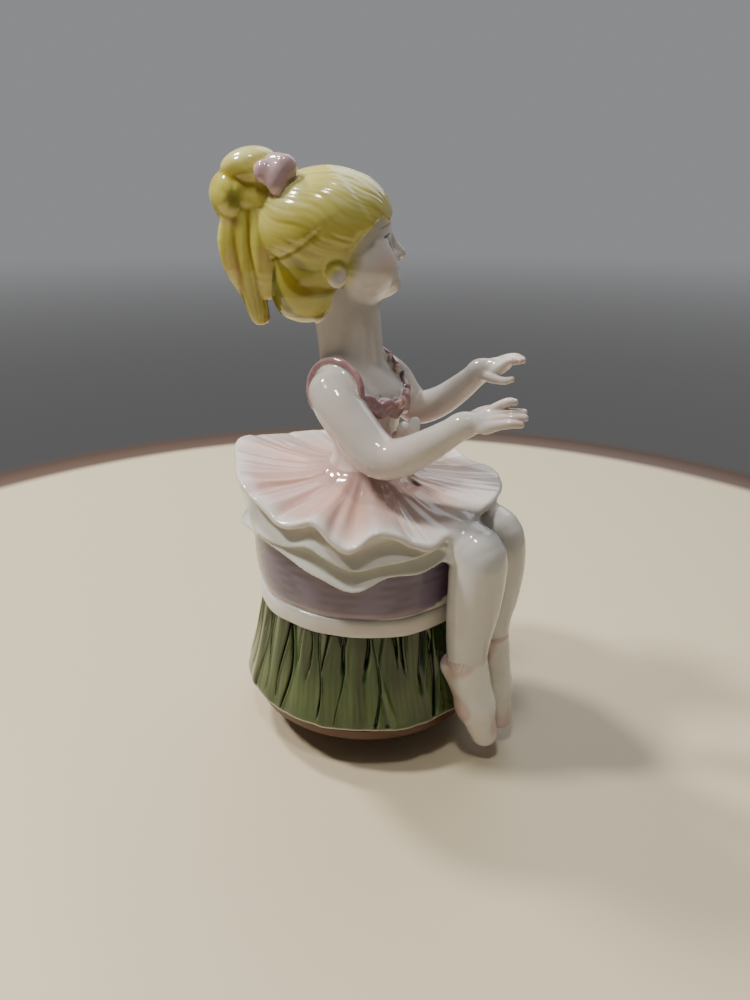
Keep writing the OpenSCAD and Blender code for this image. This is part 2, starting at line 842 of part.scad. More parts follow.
// Ribbon tied under the ruffle: two loops, a knot and two short tails
module waist_bow() {
    at = [0, -11.4, 98.5];
    color("white") difference() {
        translate(at) {
            egg([1.5, 1.5, 1.5], 10);
            for (s = [-1, 1]) {
                limb([[0, 0, 0], [s * 3.6, -0.8, 2.2], [s * 4, -0.4, -0.6], [0, 0, 0]], [0.8, 1, 1, 0.8], 8);
                limb([[0, 0, 0], [s * 1.8, -0.4, -3], [s * 2.6, 0.2, -5.4]], [0.8, 0.9, 0.9], 8);
            }
        }
        torso_form();
    }
}

// Small applied blossoms on the front of the bodice and on the left strap
module bodice_flowers() {
    places = [[0, -12.4, 110], [10, -4.6, 119.5]];
    color(blush) difference() {
        for (p = places)
            translate(p) for (a = [0 : 72 : 288])
                rotate([90, 0, 0]) rotate([0, 0, a]) translate([1.5, 0, 0]) sphere(1.3, $fn = 10);
        torso_form();
        ruffle_form();
        strap_form();
        left_arm_form();
    }
}

module right_arm() {
    color(skin) difference() {
        right_arm_form();
        torso_form();
    }
}

module left_arm() {
    color(skin) difference() {
        left_arm_form();
        torso_form();
    }
}

// A leg, cut where it meets the torso, the cushion, the skirt, the other leg and its slipper
module leg(path, toe, other) {
    difference() {
        leg_form(path);
        torso_form();
        cushion_form();
        slipper_form(path[2], toe);
        upper_layer_form();
        translate([0, 0, 81.6]) cylinder(h = 20, r = 39);
        translate([other > 0 ? 0 : -60, -70, 0]) cube([60, 70, 100]);
    }
}

module right_leg() {
    color(skin) leg(right_leg_path, right_toe, 1);
}

module left_leg() {
    color(skin) leg(left_leg_path, left_toe, -1);
}

module right_slipper() {
    color(blush) difference() {
        slipper_form(right_leg_path[2], right_toe);
        skirt_form();
        translate([0, -70, 0]) cube([60, 70, 100]);
    }
}

module left_slipper() {
    color(blush) difference() {
        slipper_form(left_leg_path[2], left_toe);
        skirt_form();
        translate([-60, -70, 0]) cube([60, 70, 100]);
    }
}

turntable_foot();
foot_pad();
winding_arbor();
thrust_washer();
crown_wheel();
base_disc();
movement_screws();
bedplate();
spring_housing();
housing_screws();
mainspring();
comb();
comb_screws();
governor_frame();
cylinder_shaft();
music_cylinder();
cylinder_wheel();
governor_arbor();
worm_wheel();
governor_worm();
air_brake_fan();
stool_skirt();
seat_rim();
seat_cushion();
tutu_upper_layer();
tutu_middle_layer();
tutu_lower_layer();
torso();
shoulder_straps();
bust_ruffle();
waist_bow();
bodice_flowers();
head();
hair();
hair_bun();
ponytail();
hair_flower();
right_arm();
left_arm();
right_leg();
left_leg();
right_slipper();
left_slipper();
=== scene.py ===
"""Looks of the porcelain figurine: a ballerina on a round stool, glazed and hand painted.

The porcelain is modelled as distance fields in millimetres, in the same frame as the CAD, joined
with soft fillets as glaze would leave them, then cut into one closed mesh for each CAD node.
The stool's skirt, rim and cushion are turned profiles. The movement keeps its CAD shapes.
"""

import json
import math
from concurrent.futures import ThreadPoolExecutor
from functools import partial

import bpy
import numpy as np
import openvdb
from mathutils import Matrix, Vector


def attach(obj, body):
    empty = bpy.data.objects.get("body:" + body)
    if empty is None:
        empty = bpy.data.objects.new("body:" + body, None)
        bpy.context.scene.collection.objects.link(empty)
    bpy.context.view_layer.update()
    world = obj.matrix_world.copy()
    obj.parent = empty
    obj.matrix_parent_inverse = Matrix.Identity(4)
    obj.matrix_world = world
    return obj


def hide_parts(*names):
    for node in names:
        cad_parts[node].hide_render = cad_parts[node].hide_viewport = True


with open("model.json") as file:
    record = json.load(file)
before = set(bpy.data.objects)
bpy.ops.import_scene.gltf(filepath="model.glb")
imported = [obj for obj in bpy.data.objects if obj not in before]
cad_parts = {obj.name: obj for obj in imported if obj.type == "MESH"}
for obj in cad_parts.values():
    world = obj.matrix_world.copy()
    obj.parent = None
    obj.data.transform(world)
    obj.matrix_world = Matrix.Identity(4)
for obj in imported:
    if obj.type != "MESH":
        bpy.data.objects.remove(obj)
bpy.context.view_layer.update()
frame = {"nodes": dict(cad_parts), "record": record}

MM = 0.001
COARSE = 1.0
FAR = 8.0


# ---------- numbers to shapes

def ramp(low, high, v):
    t = np.clip((v - low) / (high - low), 0.0, 1.0)
    return t * t * (3.0 - 2.0 * t)


def soft_min(a, b, k):
    if k <= 0:
        return np.minimum(a, b)
    h = np.maximum(k - np.abs(a - b), 0.0) / k
    return np.minimum(a, b) - h * h * (k / 4)


def soft_max(a, b, k):
    return -soft_min(-a, -b, k)


def spline(points, steps):
    """Catmull-Rom curve through rows of numbers, with steps samples a span."""
    p = np.array(points, float)
    p = np.vstack([2 * p[0] - p[1], p, 2 * p[-1] - p[-2]])
    t = np.linspace(0, 1, steps, endpoint=False)[:, None]
    out = []
    for i in range(1, len(p) - 2):
        a, b, c, d = p[i - 1], p[i], p[i + 1], p[i + 2]
        out.append(0.5 * (2 * b + (c - a) * t + (2 * a - 5 * b + 4 * c - d) * t ** 2
                          + (3 * b - a - 3 * c + d) * t ** 3))
    return np.vstack(out + [p[-2:-1]])


def around(table):
    """A smooth function of an angle in degrees through {angle: value}."""
    angles = sorted(table)
    rows = [(a + turn, table[a]) for turn in (-360, 0, 360) for a in angles]
    fine = spline(rows, 12)
    return lambda a: np.interp(a, fine[:, 0], fine[:, 1])


def egg(centre, half):
    c, h = np.array(centre, float), np.array(half, float)

    def distance(x, y, z):
        u, v, w = (x - c[0]) / h[0], (y - c[1]) / h[1], (z - c[2]) / h[2]
        out = np.sqrt(u * u + v * v + w * w)
        slope = np.sqrt((u / h[0]) ** 2 + (v / h[1]) ** 2 + (w / h[2]) ** 2)
        return out * (out - 1.0) / np.maximum(slope, 1e-5)

    return distance


def rod(a, b, ra, rb):
    a, b = np.array(a, float), np.array(b, float)
    d = b - a
    n = d @ d

    def distance(x, y, z):
        x, y, z = x - a[0], y - a[1], z - a[2]
        t = np.clip((x * d[0] + y * d[1] + z * d[2]) / n, 0.0, 1.0)
        radius = ra + (rb - ra) * t
        return np.sqrt((x - t * d[0]) ** 2 + (y - t * d[1]) ** 2 + (z - t * d[2]) ** 2) - radius

    return distance


def joined(k, *shapes):
    """Shapes melted together in turn, with fillets of about k millimetres."""
    def distance(x, y, z):
        out = shapes[0](x, y, z)
        for one in shapes[1:]:
            out = soft_min(out, one(x, y, z), k)
        return out

    return distance


def pair(k, centre, half):
    """An egg on either side of the head."""
    x, y, z = centre
    return joined(k, egg((-x, y, z), half), egg((x, y, z), half))


def limb(points, steps=4):
    """A rounded limb along a curve; each point is (x, y, z, radius)."""
    p = spline(points, steps)
    return joined(0, *(rod(a[:3], b[:3], a[3], b[3]) for a, b in zip(p[:-1], p[1:])))


def cos_sin(degrees):
    a = math.radians(degrees)
    return math.cos(a), math.sin(a)


def axis_turn(angle, axis):
    c, s = cos_sin(angle)
    i, j = [(1, 2), (2, 0), (0, 1)][axis]
    m = np.eye(3)
    m[i, i], m[i, j], m[j, i], m[j, j] = c, -s, s, c
    return m


def own_frame(origin, turn):
    def convert(x, y, z):
        x, y, z = x - origin[0], y - origin[1], z - origin[2]
        return tuple(turn[0, i] * x + turn[1, i] * y + turn[2, i] * z for i in range(3))

    return convert


def placed(shape, origin, turn):
    """A shape drawn round the origin, turned and moved to its place."""
    convert = own_frame(origin, turn)
    return lambda x, y, z: shape(*convert(x, y, z))


# ---------- head and hair, in the head's own frame

HEAD_AT = (-2.0, 9.5, 158.5)
HEAD_TURN = axis_turn(37, 2) @ axis_turn(-7, 0)
EYE_X, EYE_Z = 6.8, -3.4
BUN_BASE = (0.0, 20.0, 13.0)
to_head = own_frame(HEAD_AT, HEAD_TURN)

skull = joined(
    6.0,
    egg((0, 1.5, 3), (17.6, 18.4, 15.2)),
    egg((0, -5.4, -11.0), (12.0, 11.6, 9.4)),
)
cheeks = pair(0.5, (7.6, -9.4, -8.6), (7.2, 6.9, 6.6))
chin = egg((0, -14.0, -15.2), (3.6, 3.2, 2.8))
nose = joined(
    0.8,
    rod((0, -16.0, -2.5), (0, -18.3, -6.8), 1.2, 1.75),
    egg((-1.4, -17.2, -7.2), (1.15, 1.3, 1.0)),
    egg((1.4, -17.2, -7.2), (1.15, 1.3, 1.0)),
)
lips = joined(
    0.3,
    egg((0, -16.4, -10.9), (2.5, 1.5, 0.75)),
    egg((0, -16.1, -12.4), (2.0, 1.5, 0.85)),
)
sockets = pair(0.5, (EYE_X, -19.2, -2.8), (4.4, 3.2, 3.4))
ears = pair(0.5, (15.2, 0.8, -9), (2.1, 3.0, 3.9))
ear_hollows = pair(0.3, (17.5, 0.0, -8.8), (1.3, 1.6, 2.2))


def face_shape(x, y, z):
    d = soft_min(skull(x, y, z), cheeks(x, y, z), 5.0)
    d = soft_min(d, chin(x, y, z), 4.0)
    d = soft_max(d, -sockets(x, y, z) - 0.5, 2.5)
    d = soft_min(d, nose(x, y, z), 1.8)
    d = soft_min(d, lips(x, y, z), 0.7)
    d = soft_min(d, ears(x, y, z), 2.0)
    return soft_max(d, -ear_hollows(x, y, z), 1.0)


def strand_angle(x, y, z):
    """Angle of a lock of hair round the line through the bun, and how far it is from the bun."""
    v, w = y - BUN_BASE[1], z - BUN_BASE[2]
    across = -0.42 * v + 0.91 * w
    along = -0.91 * v - 0.42 * w
    return np.arctan2(x, across + 0.02 * along), along


def strands(x, y, z):
    """Grooves of the combed hair, from 0 on a lock to 1 in a groove."""
    a, along = strand_angle(x, y, z)
    a = a + 0.06 * np.sin(along * 0.17 + 2.3 * a) + 0.03 * np.sin(along * 0.41 - 3.0 * a)
    broad = 0.5 + 0.5 * np.cos(8 * a + 1.6 * np.sin(2.3 * a) + 0.03 * along)
    fine = 0.5 + 0.5 * np.cos(24 * a + 2.4 * np.sin(4.1 * a) + 0.09 * along)
    hairs = 0.5 + 0.5 * np.cos(61 * a + 3.0 * np.sin(6.3 * a) - 0.07 * along)
    come = 0.5 + 0.5 * np.sin(0.33 * along + 5.0 * a + 1.0)
    return 0.46 * broad ** 7 + 0.36 * fine ** 4 * come + 0.18 * hairs ** 2 * (1 - 0.6 * come)


def fringe_edge(x, z):
    """How far below the fringe's edge a point of the forehead is."""
    return 4.2 + 0.9 * np.cos(0.62 * x + 0.6) + 0.35 * np.cos(1.9 * x) - 0.010 * x * x - z


def hair_cover(x, y, z):
    """1 where the head is covered with hair, 0 on the face; a crisp fringe and sprayed sides."""
    temple = ramp(-2.8, 2.8, y + 8.6 + 0.55 * z + 1.0 * np.sin(0.5 * z))
    forehead = ramp(-0.35, 0.35, fringe_edge(x, z))
    return 1.0 - (1.0 - temple) * forehead


def hair_amount(x, y, z):
    """The hair's cover less the bare lower part of the ears."""
    ear = (1.0 - ramp(-0.3, 0.8, ears(x, y, z))) * ramp(-6.5, -10.0, z + 0.5 * y)
    return hair_cover(x, y, z) * (1.0 - ear)


hair_cap = joined(
    5.0,
    egg((0, 3, 4), (19.5, 20.1, 16.0)),
    egg((0, 8.5, -10.5), (14.3, 13.4, 9.8)),
    egg((0, 10.0, -17.0), (11.4, 10.4, 6.6)),
)
hair_core = egg((0, 2, 2), (15.4, 16.2, 13.0))


def hair_shape(x, y, z):
    d = hair_cap(x, y, z)
    side = np.abs(x)
    lock = np.exp(-((np.arctan2(side, z - 6 + 0.35 * y) - 1.62 - 0.012 * y) / 0.05) ** 2) * ramp(-4, 6, y)
    sweep = y + 11.5 - 0.58 * (z - 3) + 0.05 * (side - 9) ** 2 * ramp(9, 3, side)
    edge = ramp(-0.9, 0.9, sweep) * (1 - ramp(0.6, 9.0, sweep)) * ramp(2.5, 6.5, side) * ramp(-2, 3, z)
    bangs = ramp(-8, -14, y) * ramp(1, 6, z)
    d = d + 0.5 * strands(x, y, z) + 0.45 * lock - 0.6 * edge - 0.55 * bangs
    cover = hair_cover(x, y, z)
    d = d + 2.6 * (1.0 - cover) + 0.8 * (cover - hair_amount(x, y, z))
    return soft_max(d, -hair_core(x, y, z), 1.0)


LOW_COIL_AT, HIGH_COIL_AT = (0, 26.5, 14.8), (0, 21.4, 21.4)
low_coil, high_coil = egg(LOW_COIL_AT, (8.3, 8.3, 8.3)), egg(HIGH_COIL_AT, (8.7, 8.9, 6.0))
bun_root = egg((0, 19.5, 13.5), (8.2, 6.5, 7.5))
bun_hollow = joined(0.5, egg((-10.2, 26.6, 13.6), (2.4, 2.8, 3.1)),
                    limb([(-8.2, 24.5, 11.5, 0.6), (-7.2, 23.6, 8.5, 0.6)], 2))


def bun_shape(x, y, z):
    coil = np.arctan2(z - LOW_COIL_AT[2], y - LOW_COIL_AT[1])
    low = low_coil(x, y, z) + 0.22 * (0.5 + 0.5 * np.cos(5 * coil + 0.55 * np.abs(x))) ** 2
    high = high_coil(x, y, z) + 0.18 * (0.5 + 0.5 * np.cos(1.15 * (z - HIGH_COIL_AT[2]) + 0.25 * y)) ** 2
    d = soft_min(low, high, 0.9)
    d = soft_min(d, bun_root(x, y, z), 1.6)
    return soft_max(d, -bun_hollow(x, y, z), 1.0)


TRESSES = [
    limb([(-1.6, 27.5, 10, 4.4), (-2.2, 30.4, 3, 4.2), (-1.8, 30.0, -4, 4.2), (-0.8, 28.4, -10, 3.6),
          (0, 27.2, -15, 2.8)], 3),
    limb([(-3.2, 25.0, 9, 4.0), (-3.6, 26.0, 2, 3.9), (-3.2, 26.6, -5, 3.8), (-1.6, 26.8, -12, 3.6),
          (-0.4, 26.6, -18, 3.2), (0.2, 26.2, -20.6, 2.6)], 3),
    limb([(2.4, 27.5, 9, 4.4), (3.2, 28.6, 1, 4.2), (2.8, 27.8, -7, 3.9), (1.6, 26.8, -14, 3.5),
          (0.8, 26.2, -19.6, 2.8)], 3),
    limb([(-4.2, 20.5, 8, 4.2), (-5.2, 21.0, 1, 4.2), (-4.8, 21.0, -6, 4.0), (-3.0, 22.4, -12, 3.0)], 3),
    limb([(2.5, 22.5, 8, 4.4), (2.5, 23.2, 0, 4.4), (2.0, 23.2, -8, 3.8), (1.2, 23.6, -12.5, 2.8)], 3),
]
all_tresses = joined(0.8, *TRESSES)
TAIL_END = -22.6


def tail_ridges(x, y, z):
    """Fine hairs down the loose tail, from 0 to 1."""
    a = np.arctan2(x, y - 26.5 + 0.05 * z)
    return 0.5 + 0.5 * np.cos(15 * a + 1.2 * np.sin(0.22 * z) + 1.5 * np.sin(3 * a))


def tail_shape(x, y, z):
    return soft_max(all_tresses(x, y, z) + 0.14 * tail_ridges(x, y, z) ** 2, TAIL_END - z, 1.2)


hair_flower_shape = joined(
    1.9,
    egg((-9.4, 11.0, 20.0), (3.0, 3.4, 3.6)),
    egg((-9.2, 16.6, 19.7), (3.0, 3.2, 3.3)),
    egg((-10.8, 13.8, 16.8), (2.8, 2.8, 3.7)),
    egg((-6.0, 13.2, 22.4), (3.2, 3.0, 2.0)),
)


# ---------- body

BODY_LOW, BODY_HIGH = 77, 146
# Outlines up the body: (height, centre x, centre y, half width, half depth)
LOFT = spline([
    (BODY_LOW, 0, -1, 13, 11.5), (84, 0, -0.5, 12.6, 10.6), (91, 0, 0, 11.8, 9.5), (98, 0, 0.7, 11.9, 9.8),
    (106, 0, 1.2, 13.2, 11.2), (113, 0, 1.6, 14.2, 12.2), (118, -0.1, 3.2, 13.2, 10.9),
    (122, -0.3, 4.9, 11.4, 9.8), (126, -0.5, 5.5, 10.3, 9.9), (134, -1.0, 6.1, 10.1, 10.1),
    (BODY_HIGH, -1.7, 7.2, 10.2, 10.2),
], 16)
armholes = joined(0.5, egg((-11.6, 2.4, 115.2), (2.9, 9.2, 8.6)), egg((10.4, 4.2, 116.0), (2.6, 7.6, 8.6)))


def torso_shape(x, y, z):
    level = np.clip(z, BODY_LOW, BODY_HIGH)
    cx, cy, a, b = (np.interp(level, LOFT[:, 0], LOFT[:, i]) for i in range(1, 5))
    u, v = (x - cx) / a, (y - cy) / b
    out = np.sqrt(u * u + v * v)
    d = out * (out - 1.0) / np.maximum(np.sqrt((u / a) ** 2 + (v / b) ** 2), 1e-5)
    d = soft_min(d, armholes(x, y, z), 2.5)
    return soft_max(d, np.abs(z - (BODY_HIGH + BODY_LOW) / 2) - (BODY_HIGH - BODY_LOW) / 2, 4.0)


KNUCKLE = 6.6  # from the wrist to where the fingers part


def hand_shape(side, lift, size=1.0):
    """A hand along -Y, its back up; lift raises each finger, and its last number drops the thumb."""
    palm = joined(1.2, rod((0, 1, 0), (0, -4.5, 0.1), 3.3, 2.7), egg((0, -6.4, 0), (4.0, 4.2, 2.0)))
    fingers = []
    for i, reach in enumerate((15.0, 16.6, 16.8, 15.6)):
        x = side * (2.7 - 1.78 * i)
        up = lift[i]
        tip = KNUCKLE + (reach - KNUCKLE) * size
        fingers.append(limb([
            (x * 0.9, -KNUCKLE, 0.1, 1.4), (x, -KNUCKLE - 3.6 * size, 0.4 + 0.35 * up, 1.35),
            (x, -KNUCKLE - 6.8 * size, 0.8 * up, 1.2), (x * 0.98, -tip, -1.1 + up, 0.95),
        ], 3))
    thumb = limb([
        (side * 2.2, -1.6, -0.6, 1.7), (side * 4.4, -4.6, -1.4, 1.45),
        (side * 4.9, -8.0, -1.9 - 0.25 * lift[4], 1.15), (side * 4.5, -10.4, -2.1 - 0.3 * lift[4], 0.9),
    ], 3)
    return joined(0.9, joined(1.3, palm, joined(0.35, *fingers)), thumb)


RIGHT_WRIST = (-12.2, -42.0, 112.2)
LEFT_WRIST = (18.5, -30.2, 120.2)
right_hand = placed(hand_shape(1, (2.9, 0.0, -0.2, -0.4, 0.0)), RIGHT_WRIST,
                    axis_turn(15, 2) @ axis_turn(-18, 0) @ axis_turn(-40, 1))
left_hand = placed(hand_shape(-1, (2.2, 1.2, 0.4, 0.0, 4.0), 0.68), LEFT_WRIST,
                   axis_turn(4, 2) @ axis_turn(-20, 0) @ axis_turn(-20, 1))

right_arm_shape = joined(
    1.6,
    limb([
        (-13.8, 2.6, 114.8, 7.2), (-15.6, -1.6, 111.4, 7.3), (-16.7, -8.2, 105.8, 7.1),
        (-17.2, -15.4, 100.4, 6.8), (-16.8, -22.0, 99.6, 6.0), (-15.4, -31.0, 104.2, 5.0),
        (*RIGHT_WRIST, 3.5),
    ]),
    right_hand,
)
left_arm_shape = joined(
    1.6,
    limb([
        (13.8, 3.0, 115.4, 6.9), (16.4, 1.0, 112.6, 6.8), (19.2, -1.6, 107.6, 6.1), (20.7, -6.0, 104.2, 5.6),
        (20.4, -14, 107.2, 5.0), (19.6, -22, 113, 4.3), (*LEFT_WRIST, 3.4),
    ]),
    left_hand,
)
right_leg_shape = limb([
    (-7, -4, 74, 7.1), (-7, -20, 74.4, 7.2), (-6.9, -36, 74.6, 7.2), (-7.1, -45.4, 72.2, 8.4),
    (-7.4, -46.3, 65, 8.6), (-7.7, -45.7, 54, 8.0), (-7.9, -44.9, 45, 7.1), (-8.0, -44.6, 36, 6.2),
])
left_leg_shape = limb([
    (7, -4, 74, 7.0), (7, -20, 74.6, 7.1), (7, -35, 75.4, 7.0), (7, -45.0, 74.2, 7.2),
    (6.9, -47.2, 66, 7.2), (6.8, -46.8, 54, 6.6), (6.7, -45.7, 45, 5.8), (6.6, -45.5, 36, 5.2),
])


def slipper_shape(ankle, toe, more):
    """Heel, instep and toe, cut off at a slanting rim; more is the extra thickness."""
    a, t = np.array(ankle, float), np.array(toe, float)
    ball = a * 0.42 + t * 0.58 + (0, 0.6, 0)
    form = joined(
        2.2,
        rod(a + (0, 0.2, 0.5), ball, 5.7 + more, 5.6 + more),
        rod(a + (0, 4.2, -5.5), ball + (0, 1.2, 4), 4.0 + more, 4.6 + more),
        rod(ball, t + (0, 0, 2.6), 5.6 + more, 4.0 + more / 2),
    )

    def distance(x, y, z):
        rim = z - a[2] - 0.6 + 0.38 * (y - a[1])
        return soft_max(form(x, y, z), rim, 0.7)

    return distance


right_slipper_shape = slipper_shape((-8.0, -44.6, 37), (-5.4, -51.0, 5.6), 0.6)
left_slipper_shape = slipper_shape((6.6, -45.5, 37), (5.4, -51, 5.5), 0.2)


# ---------- tutu

WAIST_R = 10
RIM_MEAN = 84
SHEET_HALF = 1.1
TIER_DEPTH = 11.0
TIER_HOLE_R = 27.0
# By angle: the top rim's height and radius, and the heights of the two lips under it
RIM_Z = around({
    -38: 84, -52: 84.6, -64: 84.6, -76: 85.0, -86: 84.4, -95: 82.4, -104: 80.6, -111: 79.6, -120: 78,
    -133: 82.5, -141: 83, -152: 79, -165: 85.5, -177: 83.5, 170: 87, 155: 91, 137: 93, 115: 95, 90: 91,
    72: 89, 50: 88, 30: 85, 10: 84, -8: 84.6, -24: 82.5,
})
RIM_R = around({
    -42: 43.4, -64: 44, -76: 44, -86: 43.8, -99: 43, -111: 43, -120: 43.8, -133: 42.5, -141: 42.5, -152: 43.8,
    -165: 42, -177: 43.2, 170: 43, 155: 43.5, 137: 42, 115: 43.6, 90: 42, 72: 43.2, 50: 42, 30: 43.2,
    10: 42, -8: 43.4, -24: 42.6,
})
LIP1_Z = around({
    -180: 75, 164: 75.8, 155: 81.5, 143: 84, 120: 81.5, 95: 84, 70: 80.5, 42: 82, 15: 78.5, -12: 80,
    -40: 77, -65: 78, -90: 77, -112: 75.5, -135: 73, -149: 71, -160: 74.5, -168: 77,
})
LIP2_Z = around({
    -180: 72, 161: 74.2, 152: 74.6, 130: 72.2, 105: 73.2, 75: 71, 45: 72.4, 15: 70.6, -15: 71.6, -45: 70.2,
    -75: 72, -100: 71.8, -110: 71.6, -122: 68.7, -135: 68.4, -149: 64.3, -163: 68,
})
# The top layer's height by radius
RISE = np.array([(0, 90.6), (9, 90.2), (14, 88.4), (20, 86.6), (30, 85.2), (38, 84.6), (46, RIM_MEAN)])


def polar(x, y):
    return np.sqrt(x * x + y * y), np.degrees(np.arctan2(y, x))


# Deep creases of the top layer: (angle, depth, half width in degrees)
CREASES = ((-127, 1.2, 4.0), (-146, 2.2, 5.0), (-158, 0.8, 2.5), (-170, 1.5, 4.0), (178, 1.0, 3.0),
           (163, 1.3, 4.0), (146, 1.0, 4.0), (126, 1.3, 4.0), (102, 1.1, 4.0), (80, 1.2, 3.5), (61, 1.0, 4.0),
           (40, 1.3, 4.0), (20, 1.0, 3.5), (0, 1.2, 4.0), (-16, 1.0, 3.5), (-33, 1.2, 4.0), (-56, 0.8, 3.0),
           (-72, 0.7, 2.5), (-107, 0.9, 3.0))


def gathers(r, a, edge):
    """Small radial folds that fan out from the waist, and the deeper creases of the frill."""
    t = np.clip((r - WAIST_R) / (edge - WAIST_R), 0, 1)
    rad = np.radians(a)
    fold = (0.5 * np.cos(23 * rad + 1.2 * np.sin(5 * rad)) + 0.32 * np.cos(41 * rad + 2.0 * np.sin(3 * rad))
            + 0.18 * np.cos(67 * rad))
    fold = fold * (1.0 - 0.75 * ramp(0.6, 0.95, t))
    fade = ramp(0.05, 0.45, t) * (1 - 0.5 * ramp(0.85, 1.0, t))
    for place, depth, width in CREASES:
        off = (a - place + 180 + 5 * (1 - t)) % 360 - 180
        fold = fold - 1.7 * depth * np.exp(-(off / (width * (1.5 - 0.7 * t))) ** 2) * fade
    return fold * (0.35 + 0.65 * t) * ramp(0.0, 0.16, t)


def upper_mid(x, y):
    """Height of the middle of the upper layer's sheet, its distance from the axis, and the rim's."""
    r, a = polar(x, y)
    edge = RIM_R(a)
    t = np.clip((r - 9) / (edge - 9), 0, 1.1)
    mid = np.interp(r, RISE[:, 0], RISE[:, 1]) + (RIM_Z(a) - RIM_MEAN) * t ** 1.35
    return mid + 0.34 * gathers(r, a, edge) - 1.0, r, edge


def upper_layer_shape(x, y, z):
    mid, r, edge = upper_mid(x, y)
    slopes = [np.gradient(mid, axis=i) / (c.ravel()[1] - c.ravel()[0]) for i, c in enumerate((x, y))]
    flat = 1.0 / np.sqrt(1.0 + slopes[0] ** 2 + slopes[1] ** 2)
    v = np.abs(z - mid) * flat
    u = (r - edge + SHEET_HALF) * 0.94
    return np.sqrt(np.maximum(u, 0) ** 2 + v * v) - SHEET_HALF


def tier_shape(lip_z, lip_r, waves):
    """A hanging frill under the top layer, with a wavy lip."""
    def distance(x, y, z):
        r, a = polar(x, y)
        low = lip_z(a)
        swing = 0.7 * np.cos(np.radians(waves * a + 40)) - 0.16 * (low - 74)
        h = z - low
        outer = lip_r + np.clip(swing, -1.2, 1.2) * np.exp(-np.maximum(h, 0) / 5) - 3.1 * ramp(0, 6.5, h)
        outer = outer + 0.45 * np.exp(-((h - 0.3) / 0.9) ** 2)
        d = soft_max((r - outer) * 0.88, (low - z) * 0.93, 0.9)
        d = np.maximum(d, np.maximum(h - TIER_DEPTH, z - upper_mid(x, y)[0]))
        return np.maximum(d, TIER_HOLE_R - r)

    return distance


middle_layer_shape = tier_shape(LIP1_Z, 42.0, 9)
lower_layer_shape = tier_shape(LIP2_Z, 41.2, 7)


# ---------- trimmings

def strap_ring(out, middle, long):
    """Piping round an armhole; long is half its length."""
    path = [(out * (1 - 0.05 * math.sin(a)), middle + long * math.cos(a) - 1.4 * min(math.sin(a), 0),
             115.6 + 8.9 * math.sin(a), 1.05) for a in np.radians(np.arange(0, 376, 15))]
    return limb(path, 1)


straps_shape = joined(0.2, strap_ring(-12.9, 2.2, 10.0), strap_ring(11.6, 4.4, 8.0))


def ruffle_shape(x, y, z):
    path = [(14.0 * math.sin(a), 1.2 - 13.2 * math.cos(a),
             110.8 + 4.0 * math.sin(a) ** 2 + 0.7 * math.sin(15 * a), 1.5 + 0.35 * math.cos(15 * a))
            for a in np.radians(np.arange(-78, 79, 6))]
    top = limb(path, 1)(x, y, z)
    low = limb([(p[0] * 1.03, p[1] * 1.03, p[2] - 2.6, 1.2) for p in path], 1)(x, y, z)
    return soft_min(top, low, 1.2)


bow_loop = egg((0, 0, 0), (1.5, 2.6, 4.0))
bow_shape = joined(
    0.6,
    egg((0, -12.6, 100.4), (1.8, 2.6, 1.9)),
    placed(bow_loop, (-1.8, -15.6, 103.0), axis_turn(-20, 1) @ axis_turn(24, 0)),
    placed(bow_loop, (2.2, -15.6, 103.0), axis_turn(20, 1) @ axis_turn(24, 0)),
    limb([(-0.5, -14, 100, 1.2), (-2.2, -17.6, 97.6, 1.2), (-3.6, -21.5, 97.2, 1.0)]),
    limb([(0.5, -14, 100, 1.2), (2.6, -16.6, 96.6, 1.2), (4.2, -19, 92.8, 1.1)]),
)


def blossom(centre, turn, size):
    half = (0.95 * size, 0.7 * size, 0.95 * size)
    petals = [egg((1.25 * size * math.cos(a), -0.1, 1.25 * size * math.sin(a)), half)
              for a in np.radians(np.arange(90, 450, 72))]
    heart = egg((0, -0.5 * size, 0), (0.6 * size,) * 3)
    return placed(joined(0.25, *petals, heart), centre, axis_turn(turn, 2))


flowers_shape = joined(
    0.2,
    blossom((-1.2, -14.2, 111.8), 6, 1.0),
    blossom((9.3, -4.9, 119.4), 38, 1.0),
    blossom((9.0, -2.4, 122.6), 30, 0.85),
    placed(egg((0, 0, 0), (0.9, 0.7, 1.9)), (10.4, -6.3, 116.8), axis_turn(20, 1)),
)


# ---------- pieces cut from the joined form

in_head = partial(placed, origin=HEAD_AT, turn=HEAD_TURN)

